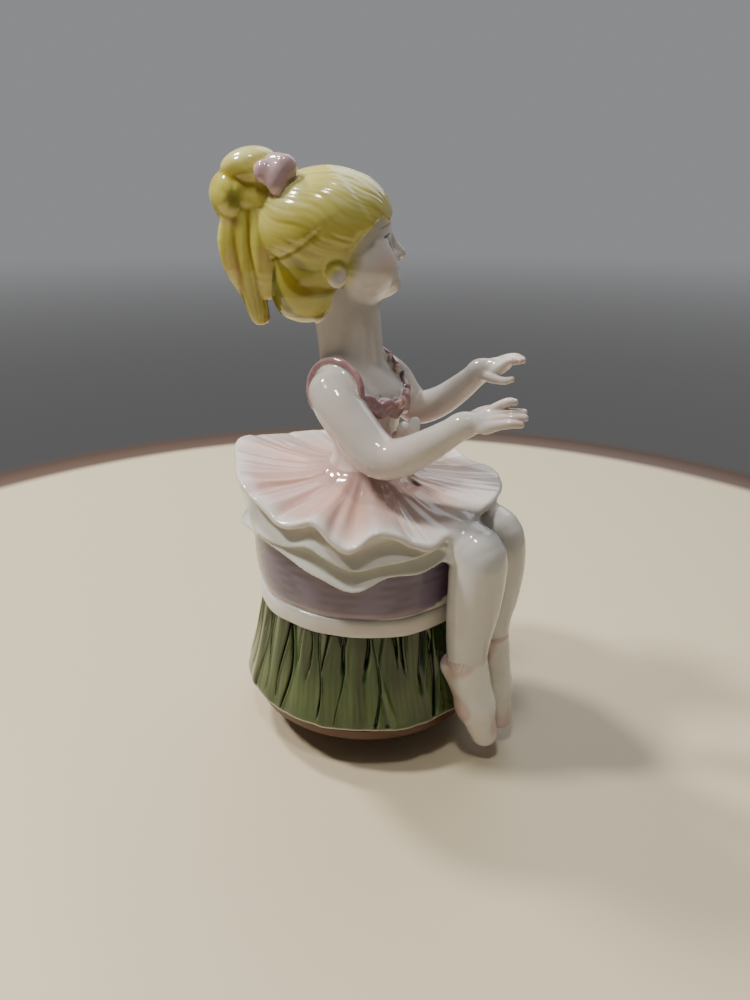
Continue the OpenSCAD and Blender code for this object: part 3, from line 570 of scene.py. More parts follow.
# node: (shape, low corner, high corner, voxel)
PARTS = {
    "torso": (torso_shape, (-16, -14, 76), (15, 18, 147), 0.36),
    "tutu_upper_layer": (upper_layer_shape, (-46, -46, 75), (46, 46, 98), 0.46),
    "tutu_middle_layer": (middle_layer_shape, (-45, -45, 69), (45, 45, 96), 0.5),
    "tutu_lower_layer": (lower_layer_shape, (-45, -45, 62), (45, 45, 90), 0.5),
    "right_leg": (right_leg_shape, (-18, -57, 30), (1, 4, 84), 0.38),
    "left_leg": (left_leg_shape, (-1, -57, 30), (16, 4, 84), 0.42),
    "right_slipper": (right_slipper_shape, (-16, -58, 0), (1, -34, 43), 0.33),
    "left_slipper": (left_slipper_shape, (0, -56, 1), (14, -36, 43), 0.36),
    "right_arm": (right_arm_shape, (-26, -58, 92), (-5, 12, 126), 0.28),
    "left_arm": (left_arm_shape, (5, -48, 97), (28, 12, 138), 0.3),
    "head": (in_head(face_shape), (-24, -14, 136), (20, 32, 180), 0.27),
    "hair": (in_head(hair_shape), (-26, -14, 129), (22, 36, 182), 0.34),
    "hair_bun": (in_head(bun_shape), (-30, 10, 158), (2, 42, 190), 0.3),
    "ponytail": (in_head(tail_shape), (-30, 16, 128), (0, 44, 176), 0.3),
    "hair_flower": (in_head(hair_flower_shape), (-26, 6, 168), (-2, 30, 190), 0.26),
    "shoulder_straps": (straps_shape, (-16, -10, 104), (16, 15, 127), 0.26),
    "bust_ruffle": (ruffle_shape, (-17, -15, 105), (17, 4, 120), 0.28),
    "waist_bow": (bow_shape, (-8, -24, 90), (8, -8, 109), 0.24),
    "bodice_flowers": (flowers_shape, (-5, -17, 108), (15, 0, 126), 0.22),
}

# How the parts melt into each other: (fillet with everything before, {part: fillet in its group})
GROUPS = [
    (0.0, {"torso": 0.0}),
    (6.0, {"tutu_upper_layer": 0.0}),
    (1.0, {"tutu_middle_layer": 0.0, "tutu_lower_layer": 0.7}),
    (3.0, {"right_leg": 0.0, "left_leg": 0.8}),
    (0.4, {"right_slipper": 0.0, "left_slipper": 0.3}),
    (2.2, {"right_arm": 0.0, "left_arm": 0.0}),
    (2.4, {"head": 0.0}),
    (0.7, {"hair": 0.0}),
    (1.2, {"hair_bun": 0.0}),
    (0.9, {"ponytail": 0.0}),
    (0.5, {"hair_flower": 0.0}),
    (0.5, {"shoulder_straps": 0.0, "bust_ruffle": 0.3}),
    (0.4, {"waist_bow": 0.0, "bodice_flowers": 0.0}),
]


def part_field(name, axes):
    """The part's distances on the grid, worked out only near the part."""
    shape, low, high, _ = PARTS[name]
    spans = []
    for c, lo, hi in zip(axes, low, high):
        i, j = np.searchsorted(c, (lo - FAR, hi + FAR))
        if j - i < 3:
            return None
        spans.append(slice(i, j))
    x, y, z = (c[s] for c, s in zip(axes, spans))
    out = np.full([len(c) for c in axes], FAR, np.float32)
    out[tuple(spans)] = shape(x[:, None, None], y[None, :, None], z[None, None, :])
    return out


def carve(name):
    """One closed mesh: the joined form, cut to the share that is nearest to this part."""
    _, low, high, voxel = PARTS[name]
    voxel *= COARSE
    axes = [np.arange(lo - 2.6, hi + 2.6 + voxel, voxel, dtype=np.float32) for lo, hi in zip(low, high)]
    own = part_field(name, axes)
    others = np.full(own.shape, FAR, np.float32)
    fused = None
    for k, members in GROUPS:
        group = None
        for part, inner in members.items():
            d = own if part == name else part_field(part, axes)
            if d is None:
                continue
            if part != name:
                others = np.minimum(others, d)
            group = d if group is None else soft_min(group, d, inner)
        if group is not None:
            fused = group if fused is None else soft_min(fused, group, k)
    share = own - others
    sink = 0.08 * np.clip(share, 0.0, 1.2) ** 2
    solid = np.maximum(fused + sink, 0.7 * share - 0.8).astype(np.float32)
    band = 3 * voxel
    np.clip(solid, -band, band, out=solid)
    solid[[0, -1]] = band
    solid[:, [0, -1]] = band
    solid[:, :, [0, -1]] = band
    grid = openvdb.FloatGrid(band)
    grid.copyFromArray(solid)
    points, quads = grid.convertToQuads(0.0)
    points = np.asarray(points, float) * voxel + [c[0] for c in axes]
    return points, np.asarray(quads, int)


def biggest(points, quads, least=0.02):
    """Drops crumbs: pieces of the mesh with less than a share of its faces."""
    label = np.arange(len(points))
    while True:
        low = label[quads].min(1)
        new = label.copy()
        np.minimum.at(new, quads.ravel(), np.repeat(low, quads.shape[1]))
        new = new[new]
        if np.array_equal(new, label):
            break
        label = new
    ids, counts = np.unique(label[quads[:, 0]], return_counts=True)
    keep = np.isin(label[quads[:, 0]], ids[counts >= least * len(quads)])
    quads = quads[keep]
    used, back = np.unique(quads, return_inverse=True)
    return points[used], back.reshape(quads.shape)


def relax(points, quads, rounds=2):
    """Evens out the steps that the voxels leave, without shrinking."""
    a = np.concatenate([quads[:, i] for i in range(4)])
    b = np.concatenate([quads[:, (i + 1) % 4] for i in range(4)])
    count = np.maximum(np.bincount(a, minlength=len(points)), 1)[:, None]
    for weight in (0.5, -0.52) * rounds:
        mean = np.stack([np.bincount(a, points[b, i], len(points)) for i in range(3)], 1) / count
        points = points + weight * (mean - points)
    return points


def outward(points, faces):
    """The faces turned so that they all look out."""
    p = points[faces]
    volume = np.einsum("ij,ij->i", p[:, 0], np.cross(p[:, 1], p[:, 2])).sum()
    return faces[:, ::-1] if volume < 0 else faces


def sculpt(name):
    points, quads = biggest(*carve(name))
    points = relax(points, quads)
    return points, outward(points, quads)


# ---------- paint

def rgb(r, g, b):
    return np.array([r, g, b])


WHITE = rgb(0.80, 0.78, 0.74)
SKIN = rgb(0.70, 0.650, 0.61)
BLUSH = rgb(0.80, 0.47, 0.42)
PINK = rgb(0.80, 0.545, 0.48)
DEEP_PINK = rgb(0.62, 0.37, 0.34)
SATIN = rgb(0.66, 0.43, 0.42)
SATIN_SHADE = rgb(0.66, 0.38, 0.38)
SATIN_EDGE = rgb(0.62, 0.38, 0.38)
ROSE = rgb(0.33, 0.175, 0.21)
CRIMSON = rgb(0.42, 0.12, 0.14)
WAIST_SHADE = rgb(0.52, 0.36, 0.31)
CREASE_SHADE = rgb(0.60, 0.36, 0.24)
PEACH = rgb(0.80, 0.50, 0.30)
PETAL = rgb(0.62, 0.42, 0.45)
PETAL_TOP = rgb(0.74, 0.60, 0.62)
LEMON = rgb(0.72, 0.67, 0.14)
GOLD = rgb(0.42, 0.30, 0.012)
SHADED_OLIVE = rgb(0.17, 0.165, 0.012)
LIT_LEMON = rgb(0.85, 0.81, 0.40)
LEAF = rgb(0.16, 0.10, 0.12)
CREAM = rgb(0.70, 0.66, 0.55)
MINT = rgb(0.66, 0.70, 0.62)
MOSS = rgb(0.019, 0.038, 0.006)
SAGE = rgb(0.056, 0.104, 0.026)
STRAW = rgb(0.12, 0.135, 0.04)
MAUVE = rgb(0.50, 0.36, 0.42)
HEATHER = rgb(0.36, 0.26, 0.30)
LILAC = rgb(0.18, 0.135, 0.235)
VIOLET = rgb(0.16, 0.12, 0.21)
PLUM = rgb(0.070, 0.042, 0.088)
WINE = rgb(0.10, 0.055, 0.085)


def blend(colour, other, amount):
    return colour + (other - colour) * np.clip(amount, 0, 1)[:, None]


def spot(p, centre, size):
    """1 at a centre, fading to 0 at size millimetres, for soft sprayed colour."""
    d = np.linalg.norm((p - centre) / size, axis=1)
    return np.clip(1 - d * d, 0, 1) ** 1.5


def cloud(p, size, seed):
    """Soft irregular patches from 0 to 1."""
    q = p / size
    a = np.sin(q[:, 0] * 1.7 + seed + 1.3 * np.sin(q[:, 1] * 1.1 + seed * 2.1))
    b = np.sin(q[:, 1] * 1.9 + seed * 1.7 + 1.2 * np.sin(q[:, 2] * 1.3 + seed))
    c = np.sin(q[:, 2] * 1.5 + seed * 0.6 + 1.1 * np.sin(q[:, 0] * 1.2 + seed * 1.4))
    return 0.5 + (a + b + c) / 6


def paint_head(p):
    x, y, z = to_head(*p.T)
    local = np.stack([x, y, z], 1)
    c = SKIN
    for s in (-1, 1):
        c = blend(c, BLUSH, 0.42 * spot(local, (s * 9.5, -12.5, -8), (7.5, 7, 5.5)))
    c = blend(c, BLUSH, 0.85 * spot(local, (0, -17.8, -11.2), (3.4, 2.6, 2.0)))
    c = blend(c, PINK, 0.35 * spot(local, (0, -19.5, -6.6), (2.4, 2.4, 2.2)))
    return blend(c, hair_colour(local), hair_amount(x, y, z) * ramp(-23, -18, z))


def hair_colour(local):
    x, y, z = local.T
    groove = strands(x, y, z)
    a, along = strand_angle(x, y, z)
    brush = cloud(np.stack([a * 15, along * 0.16, 2.0 * np.sin(a)], 1), 1.0, 2.0)
    # Painted shade: the lower and back hair turns olive, broken up by brush strokes, except on the ears.
    low = ramp(9, -8, z + 0.1 * (y - 5))
    c = blend(LEMON, SHADED_OLIVE, (0.38 + 0.60 * ramp(0.4, 0.7, brush)) * low * ramp(-0.2, 1.6, ears(x, y, z)))
    # Painted shade in the grooves between the locks, with some random golden patches.
    c = blend(c, GOLD, 0.65 * groove + 0.35 * ramp(0.5, 0.8, cloud(local, 4.0, 1.0)) * ramp(0.3, 0.7, brush))
    # Painted light: the locks on top of the head are paler.
    return blend(c, LIT_LEMON, (0.25 + 0.6 * ramp(0.5, 0.2, brush)) * ramp(2, 14, z) * (1 - groove))


def paint_hair(p):
    local = np.stack(to_head(*p.T), 1)
    return blend(SKIN, hair_colour(local), hair_amount(*local.T) + 0.15)


def paint_bun(p):
    local = np.stack(to_head(*p.T), 1)
    x, y, z = local.T
    c = blend(LEMON, GOLD, 0.5 * ramp(0.45, 0.9, cloud(local, 2.6, 5.0)))
    # Painted light: the top of the bun is paler.
    c = blend(c, LIT_LEMON, 0.6 * ramp(20, 27, z))
    crease = np.abs(low_coil(x, y, z) - high_coil(x, y, z))
    # Painted shade in the crease between the two coils.
    c = blend(c, GOLD, 0.75 * ramp(1.4, 0.1, crease))
    # Painted shade in the hollow of the lower coil.
    c = blend(c, SHADED_OLIVE * 1.2, 0.9 * spot(local, (-7.6, 26.8, 13.8), (3.4, 3.6, 3.9)))
    # Painted shade: the bottom of the bun is darker.
    return blend(c, GOLD, 0.5 * ramp(10, 6, z))


def paint_tail(p):
    local = np.stack(to_head(*p.T), 1)
    x, y, z = local.T
    near = np.sort(np.stack([t(x, y, z) for t in TRESSES]), 0)
    gap = ramp(1.1, 0.1, near[1] - near[0])
    # Painted shade along the fine ridges and where two tresses meet, with random patches.
    shade = 0.3 * tail_ridges(x, y, z) ** 2 + 0.75 * gap + 0.2 * cloud(local, 3.0, 2.0)
    c = blend(LEMON, GOLD, shade)
    c = blend(c, PEACH, 0.35 * ramp(0.5, 0.9, cloud(local, 3.4, 6.0)) * ramp(-12, -4, z))
    # Painted shade: the lower tail is darker.
    return blend(c, SHADED_OLIVE, 0.35 * ramp(-4, -18, z))


def paint_torso(p):
    x, y, z = p.T
    bodice = ramp(113.0, 111.0, z - 0.05 * x * x * ramp(0, -6, y) + 1.2 * ramp(0, 8, y))
    c = blend(SKIN, WHITE, bodice)
    c = blend(c, PINK, 0.35 * bodice * ramp(0.35, 0.8, cloud(p, 5.0, 4.0)))
    c = blend(c, PINK, 0.75 * ramp(95, 89, z))
    back = np.exp(-(((x + 12.6) / 1.6) ** 2)) * ramp(0, 3, y) * bodice
    return blend(c, ROSE, 0.5 * back)


def paint_upper(p):
    x, y, z = p.T
    r, a = polar(x, y)
    edge = RIM_R(a)
    t = np.clip((r - WAIST_R) / (edge - WAIST_R), 0, 1)
    fold = gathers(r, a, edge)
    wide = cloud(np.stack([18 * np.cos(np.radians(a)), 18 * np.sin(np.radians(a)), 0 * a], 1), 4.6, 2.2)
    # The tutu's own pink near the waist, fading to white at the rim, with painted shade added in the creases.
    pink = (1 - ramp(0.50, 0.95, t)) * (0.25 + 0.95 * wide) + 0.22 * np.clip(-fold, 0, 1)
    c = blend(WHITE * [1.0, 0.965, 0.95], PINK, 0.95 * pink)
    # Deeper pink on the left-back of the inner part: partly the tutu's own pink, partly painted shade.
    far_left = (0.5 + 0.5 * np.cos(np.radians(a - 150))) ** 2
    c = blend(c, DEEP_PINK, 0.95 * far_left * (0.6 + 0.5 * wide) * ramp(1.0, 0.80, t))
    # Painted shade near the waist, where the bodice meets the layer.
    c = blend(c, WAIST_SHADE, 0.55 * ramp(0.55, 0.1, t) * (0.5 + 0.5 * wide))
    # Painted shade, rust brown, down the deep creases.
    c = blend(c, CREASE_SHADE, 0.30 * np.clip(-fold - 0.5, 0, 1.6) * ramp(1.0, 0.4, t))
    # Painted shade near the waist, deepest in the valleys of the folds.
    c = blend(c, ROSE, 0.34 * ramp(0.45, 0.05, t) * (0.4 + 0.6 * ramp(0.1, -0.6, fold)))
    streak = ramp(0.60, 0.95, 0.5 + 0.5 * np.cos(np.radians(9 * a + 60)) + 0.2 * fold)
    c = blend(c, PEACH, 0.30 * streak * np.exp(-((t - 0.45) / 0.2) ** 2))
    # A small dark mauve spot on the front of the layer, below the bow.
    dark_spot = spot(p, (-1.0, -20.0, 87.3), (1.3, 2.2, 3.0))
    return blend(c, MAUVE * 0.4, 1.4 * dark_spot)


def paint_layers(p):
    return blend(WHITE * [0.99, 1.0, 0.97], MINT, 0.35 * cloud(p, 7.0, 1.5))


def paint_limb(p):
    c = blend(SKIN, PINK, 0.20 * ramp(0.5, 0.9, cloud(p, 6.0, 2.0)))
    for wrist in (RIGHT_WRIST, LEFT_WRIST):
        c = blend(c, PINK, 0.5 * spot(p, np.add(wrist, (0, -14, 4)), (8, 7, 7)))
    c = blend(c, PINK, 0.3 * spot(p, (-16.6, -20, 104), (7, 6, 5)))
    return blend(c, PINK, 0.4 * spot(p, (20, -8, 100), (6, 7, 5)))


def paint_leg(p):
    # Painted shade: the legs take a darker, cooler copy of the white glaze, with faint pink patches.
    return blend(WHITE * [0.90, 0.905, 0.93], PINK, 0.14 * ramp(0.5, 0.9, cloud(p, 8.0, 6.0)))


def paint_slipper(p):
    x, y, z = p.T
    # Painted light: the slippers take a slightly lighter copy of the white glaze, under satin pink patches.
    c = blend(WHITE * 1.04, SATIN, 0.7 * ramp(0.5, 0.8, cloud(p, 4.0, 2.0)))
    c = blend(c, SATIN_SHADE, (0.15 + 0.55 * ramp(0, 4, x)) * ramp(18, 6, z))
    edge = z - 37 + 0.38 * (y + 46)
    return blend(c, SATIN_EDGE, 0.7 * ramp(-1.8, -0.4, edge))


def paint_rose(p):
    return blend(PINK * 0.9, ROSE, 0.62 + 0.38 * cloud(p, 1.8, 3.0))


def paint_flowers(p):
    c = blend(PINK, ROSE, 0.5 * cloud(p, 1.2, 2.0))
    c = blend(c, CRIMSON, spot(p, (-1.2, -15.1, 111.8), (1.4, 1.4, 1.4)))
    return blend(c, LEAF, 2.0 * spot(p, (10.4, -6.3, 116.8), (2.2, 2.2, 3.4)))


def paint_hair_flower(p):
    c = blend(PETAL, PETAL_TOP, ramp(180, 186, p[:, 2]))
    return blend(c, MAUVE, 0.4 * cloud(p, 2.0, 1.0))


def paint_bow(p):
    pink = 0.55 * ramp(0.4, 0.9, cloud(p, 2.4, 2.0)) + 0.25 * ramp(100, 93, p[:, 2])
    return blend(WHITE, PINK, pink)


PAINT = {
    "torso": paint_torso, "head": paint_head, "hair": paint_hair, "hair_bun": paint_bun,
    "ponytail": paint_tail, "hair_flower": paint_hair_flower, "right_arm": paint_limb, "left_arm": paint_limb,
    "right_leg": paint_leg, "left_leg": paint_leg, "right_slipper": paint_slipper,
    "left_slipper": paint_slipper, "tutu_upper_layer": paint_upper, "tutu_middle_layer": paint_layers,
    "tutu_lower_layer": paint_layers, "shoulder_straps": paint_rose, "bust_ruffle": paint_rose,
    "waist_bow": paint_bow, "bodice_flowers": paint_flowers,
}


# ---------- materials

SPECK = (0.10, 0.07, 0.05, 1)


def new_material(name):
    m = bpy.data.materials.new(name)
    m.use_nodes = True
    return m, m.node_tree, m.node_tree.nodes["Principled BSDF"]


def feed(tree, node, inputs):
    """Links or sets a node's inputs, by name or number."""
    for key, value in dict(inputs).items():
        if isinstance(value, bpy.types.NodeSocket):
            tree.links.new(value, node.inputs[key])
        else:
            node.inputs[key].default_value = value


def add_node(tree, kind, inputs=(), **settings):
    node = tree.nodes.new("ShaderNode" + kind)
    for key, value in settings.items():
        setattr(node, key, value)
    feed(tree, node, inputs)
    return node


def math_node(tree, kind, a, b, limit=False):
    return add_node(tree, "Math", {0: a, 1: b}, operation=kind, use_clamp=limit).outputs[0]


def mix_colour(tree, amount, a, b, kind="MIX"):
    return add_node(tree, "Mix", {0: amount, 6: a, 7: b}, data_type="RGBA", blend_type=kind).outputs[2]


def noise(tree, where, scale, detail=2.0):
    return add_node(tree, "TexNoise", {"Scale": scale, "Detail": detail, "Vector": where}).outputs["Fac"]


def porcelain(name, rough=0.11, glow=0.12, specks=0.0):
    """Glazed porcelain: the painted colour under a clear, slightly wavy glaze."""
    m, tree, shader = new_material(name)
    where = add_node(tree, "TexCoord").outputs["Object"]
    colour = add_node(tree, "Attribute", attribute_name="paint").outputs["Color"]
    shade = noise(tree, where, 160.0, 3.0)
    dim = add_node(tree, "Math", {0: shade, 1: 0.16, 2: 0.90}, operation="MULTIPLY_ADD").outputs[0]
    grey = add_node(tree, "CombineColor", {0: dim, 1: dim, 2: dim}).outputs[0]
    colour = mix_colour(tree, 1.0, colour, grey, "MULTIPLY")
    if specks:
        dots = add_node(tree, "TexVoronoi", {"Scale": 190.0, "Vector": where})
        near = math_node(tree, "LESS_THAN", dots.outputs["Distance"], 0.055)
        rare = add_node(tree, "SeparateColor", {0: dots.outputs["Color"]}).outputs[0]
        few = math_node(tree, "GREATER_THAN", rare, 1.0 - specks)
        colour = mix_colour(tree, math_node(tree, "MULTIPLY", near, few), colour, SPECK)
    if name == "head":
        colour = face_paint(tree, colour)
    height = noise(tree, where, 90.0, 1.0)
    bump = add_node(tree, "Bump", {"Strength": 0.22, "Distance": 0.0006, "Height": height})
    feed(tree, shader, {
        "Base Color": colour, "Roughness": rough, "IOR": 1.52, "Coat Weight": 0.35, "Coat Roughness": 0.05,
        "Subsurface Weight": glow, "Subsurface Radius": (1.0, 0.6, 0.45), "Subsurface Scale": 0.0015,
        "Normal": bump.outputs[0],
    })
    return m


def face_paint(tree, colour):
    """Painted eyes, lashes and brows, as soft-edged ellipses in the head's own frame."""
    place = add_node(tree, "Attribute", attribute_name="head_place").outputs["Vector"]
    x, y, z = add_node(tree, "SeparateXYZ", {0: place}).outputs
    do = partial(math_node, tree)
    side = do("ABSOLUTE", x, 0.0)
    front = do("LESS_THAN", y, -8.0)

    def ellipse(across, up, rx, rz, tilt=0, soft=0.25):
        u, w = do("SUBTRACT", side, EYE_X + across), do("SUBTRACT", z, EYE_Z + up)
        c, s = cos_sin(tilt)
        a = do("ADD", do("MULTIPLY", u, c / rx), do("MULTIPLY", w, s / rx))
        b = do("SUBTRACT", do("MULTIPLY", w, c / rz), do("MULTIPLY", u, s / rz))
        out = do("ADD", do("MULTIPLY", a, a), do("MULTIPLY", b, b))
        return do("MULTIPLY", do("DIVIDE", do("SUBTRACT", 1.0 + soft, out), soft, True), front)

    # White of the eye, iris, pupil, glint, lashes and brow
    layers = [
        (ellipse(0, 0, 2.1, 2.5), (0.80, 0.78, 0.75, 1)),
        (ellipse(-0.2, -0.1, 1.45, 2.15), (0.10, 0.055, 0.035, 1)),
        (ellipse(-0.2, 0, 0.85, 1.4), (0.012, 0.010, 0.010, 1)),
        (ellipse(0.35, 0.9, 0.42, 0.5), (0.9, 0.9, 0.9, 1)),
        (ellipse(0.2, 2.4, 2.6, 0.42, -8), (0.05, 0.03, 0.02, 1)),
        (ellipse(0.5, 5.1, 2.9, 0.30, -10, 0.6), (0.42, 0.29, 0.14, 1)),
    ]
    for mask, tint in layers:
        colour = mix_colour(tree, mask, colour, tint)
    return colour


def plain(name, colour, metal=0.0, rough=0.4, coat=0.0, grain=0.0):
    """One finely mottled colour, with dark streaks where grain is over 0."""
    m, tree, shader = new_material(name)
    where = add_node(tree, "TexCoord").outputs["Object"]
    mottle = math_node(tree, "MULTIPLY", noise(tree, where, 400.0, 4.0), 0.5)
    tint = mix_colour(tree, mottle, (*colour, 1), (*[c * 0.6 for c in colour], 1))
    if grain:
        stretch = add_node(tree, "Mapping", {"Scale": (1.0, 0.12, 2.0), "Vector": where}).outputs[0]
        rings = math_node(tree, "MULTIPLY", noise(tree, stretch, 260.0, 5.0), grain)
        tint = mix_colour(tree, rings, tint, (*[c * 0.25 for c in colour], 1))
    feed(tree, shader, {"Base Color": tint, "Metallic": metal, "Roughness": rough, "Coat Weight": coat,
                        "Coat Roughness": 0.08})
    return m


SLOT_OF = {s["node"]: s["material_slot"] for s in frame["record"]["subparts"]}
PLAIN = {
    "brass": plain("brass", (0.62, 0.42, 0.15), 1.0, 0.3),
    "steel_plated": plain("steel", (0.55, 0.55, 0.56), 1.0, 0.28),
    "spring_steel": plain("spring steel", (0.20, 0.21, 0.25), 1.0, 0.35),
    "nylon": plain("nylon", (0.75, 0.73, 0.68), 0.0, 0.45),
    "felt": plain("felt", (0.02, 0.05, 0.035), 0.0, 0.95),
    "varnished_wood": plain("varnished wood", (0.15, 0.045, 0.008), 0.0, 0.35, 0.3, 0.9),
}
for name, node in frame["nodes"].items():
    if SLOT_OF[name] in PLAIN:
        node.data.materials.clear()
        node.data.materials.append(PLAIN[SLOT_OF[name]])
        for face in node.data.polygons:
            face.material_index = 0


# ---------- pieces

def add_object(name, data):
    made = bpy.data.objects.new(name, data)
    bpy.context.scene.collection.objects.link(made)
    return made


def make_piece(node, points, faces, colours, material, local=None):
    """The visible mesh of a CAD node; local is the head's points in its own frame."""
    mesh = bpy.data.meshes.new(node)
    mesh.vertices.add(len(points))
    mesh.vertices.foreach_set("co", (np.asarray(points) * MM).astype(np.float32).ravel())
    mesh.loops.add(faces.size)
    mesh.loops.foreach_set("vertex_index", faces.astype(np.int32).ravel())
    mesh.polygons.add(len(faces))
    mesh.polygons.foreach_set("loop_start", np.arange(0, faces.size, 4, dtype=np.int32))
    mesh.update(calc_edges=True)
    mesh.polygons.foreach_set("use_smooth", np.ones(len(faces), bool))
    layer = mesh.attributes.new("paint", "FLOAT_COLOR", "POINT")
    rgba = np.ones((len(points), 4), np.float32)
    rgba[:, :3] = np.clip(colours, 0, 1)
    layer.data.foreach_set("color", rgba.ravel())
    if local is not None:
        place = mesh.attributes.new("head_place", "FLOAT_VECTOR", "POINT")
        place.data.foreach_set("vector", np.asarray(local, np.float32).ravel())
    piece = add_object("look_" + node, mesh)
    mesh.materials.append(material)
    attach(piece, "figurine")
    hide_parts(node)


def cells(name):
    _, low, high, voxel = PARTS[name]
    return np.prod(np.subtract(high, low) / voxel)


ROUGH = {"hair": 0.14, "hair_bun": 0.14, "ponytail": 0.16, "torso": 0.16}
SPECKLED = ("right_arm", "left_arm", "tutu_upper_layer", "torso")
with ThreadPoolExecutor(4) as pool:
    work = sorted(PARTS, key=cells, reverse=True)
    shapes = dict(zip(work, pool.map(sculpt, work)))
for name in PARTS:
    points, faces = shapes[name]
    local = np.stack(to_head(*points.T), 1) if name == "head" else None
    material = porcelain(name, ROUGH.get(name, 0.11), specks=0.06 if name in SPECKLED else 0.0)
    make_piece(name, points, faces, PAINT[name](points), material, local)


# ---------- stool

def turned(node, sides, rings, material):
    """A closed piece from rings, outside first; each gives a radius, height and colour for every angle."""
    a = np.arange(sides) * 2 * math.pi / sides
    points, colours = [], []
    for ring in rings:
        r, z, c = ring(a)
        points.append(np.stack([r * np.cos(a), r * np.sin(a), z + 0 * a], 1))
        colours.append(np.broadcast_to(c, (sides, 3)))
    n = len(rings)
    i, k = np.meshgrid(np.arange(n), np.arange(sides), indexing="ij")
    j, l = (i + 1) % n, (k + 1) % sides
    faces = np.stack([i * sides + k, i * sides + l, j * sides + l, j * sides + k], -1).reshape(-1, 4)
    points = np.concatenate(points)
    make_piece(node, points, outward(points, faces), np.concatenate(colours), material)


def inner_ring(radius, height, colour):
    """A plain ring, for the hidden inner face."""
    return lambda a: (radius, height, colour)


def wobble(a, seed, terms):
    """Waves round the stool, each (count, height), at phases set by the seed."""
    rng = np.random.default_rng(seed)
    return sum(h * np.cos(n * a + rng.uniform(0, 6.28)) for n, h in terms)


HEM_Z, TOP_Z = 15.2, 45.8
rng = np.random.default_rng(14)
FOLDS = 64
fold_at = (np.arange(FOLDS) + rng.uniform(-0.45, 0.45, FOLDS)) * 2 * math.pi / FOLDS
fold_wide = rng.uniform(0.008, 0.026, FOLDS)
fold_deep = rng.uniform(0.35, 1.0, FOLDS) ** 1.3
fold_low = np.where(rng.uniform(0, 1, FOLDS) < 0.35, -0.2, rng.uniform(0.1, 0.8, FOLDS))


def creases(a, t):
    """Creases of the gathered cloth: their depth and the raised thread beside each, from 0 to 1."""
    deep, thread = 0 * a, 0 * a
    for i in range(FOLDS):
        off = (a - fold_at[i] - 0.03 * math.sin(5 * t + 2.4 * i) + math.pi) % (2 * math.pi) - math.pi
        wide = fold_wide[i] * (0.8 + 0.5 * math.sin(3 * t + i))
        here = fold_deep[i] * float(ramp(fold_low[i] - 0.12, fold_low[i] + 0.12, t))
        deep = np.maximum(deep, here * np.exp(-(off / wide) ** 2))
        thread = np.maximum(thread, here * np.exp(-((off - 2.3 * wide) / (0.55 * wide + 0.004)) ** 2))
    return deep, thread


def skirt_ring(t):
    """The skirt's outside at a share t of its height."""
    def ring(a):
        deep, thread = creases(a, t)
        ripple = wobble(a, 8, ((23, 0.5), (31, 0.4), (47, 0.3)))
        sway = wobble(a, 3, ((5, 0.3), (9, 0.25))) + (0.3 + 0.5 * t) * ripple
        profile = 43.1 - 7.6 * t - 0.5 * math.sin(math.pi * t) - 0.7 * math.exp(-t / 0.03)
        inner = ramp(0.0, 0.07, t)
        r = profile + 0.6 * sway - 1.9 * (1.0 - 0.25 * t) * inner * deep + 0.5 * inner * thread
        z = HEM_Z + (TOP_Z - HEM_Z) * t + 0.3 * wobble(a, 6, ((6, 1), (11, 0.6))) * (1 - t)
        # Paler sage streaks and straw flecks towards the hem, darker flecks towards the top.
        sage_streaks = cloud(np.stack([a * 36, a * 0 + t * 4, 5 * np.sin(9 * a)], 1), 2.4, 4.0)
        fine = cloud(np.stack([a * 120, a * 0 + t * 9, a * 0], 1), 1.5, 2.0)
        pale = 0.85 * ramp(0.35, 0.75, sage_streaks) * (0.5 + 0.5 * ramp(0.9, 0.3, t))
        c = blend(MOSS * 1.15, SAGE, pale)
        c = blend(c, STRAW, 0.4 * ramp(0.55, 0.85, fine) * ramp(1.1, 0.0, t))
        c = blend(c, MOSS * 0.35, 0.6 * ramp(0.62, 0.30, fine) * ramp(0.1, 1.1, t))
        # Painted highlight along the raised thread beside each crease.
        c = blend(c, SAGE * 1.45, 0.7 * thread * (0.4 + 0.6 * fine))
        # Painted shade: the creases are nearly black.
        c = blend(c, MOSS * 0.08, 0.98 * ramp(0.12, 0.5, deep))
        return r, z, blend(c, CREAM, 0.9 * ramp(0.030, 0.0, t) * np.ones_like(a))

    return ring


sides = int(1400 / COARSE)
levels = np.unique(np.concatenate([np.linspace(0, 0.08, 7), np.linspace(0.08, 1, int(30 / COARSE))]))
rings = [skirt_ring(t) for t in levels]
rings += [inner_ring(r, z, CREAM) for r, z in ((32.6, TOP_Z), (37.4, 24), (38.6, 16.5), (39.6, 14.6))]
turned("stool_skirt", sides, rings, porcelain("stool_skirt", 0.16, 0.0))


def band_ring(angle, low, high, radius, roll):
    """The rim's rounded outside, at an angle up from its middle."""
    c, s = cos_sin(angle)
    mid, half = (low + high) / 2, (high - low) / 2

    def ring(a):
        wave = 0.45 * wobble(a, 21, ((4, 1), (9, 0.6), (15, 0.3)))
        r = radius - roll + roll * max(c, 0.0) + 0.12 * wobble(a, 22, ((6, 1), (13, 0.5)))
        z = mid + (half if s > 0 else -half) * abs(s) ** 0.8 + 0.5 * wave
        # Painted shade: the rim takes a darker copy of the white glaze.
        return r, z, WHITE * [0.88, 0.86, 0.86]

    return ring


rings = [band_ring(g, 45.2, 51.4, 37.0, 1.0) for g in np.linspace(-90, 90, 13)]
rings += [inner_ring(33, 51, WHITE), inner_ring(33, 45.2, WHITE)]
turned("seat_rim", sides // 2, rings, porcelain("seat_rim", 0.12))


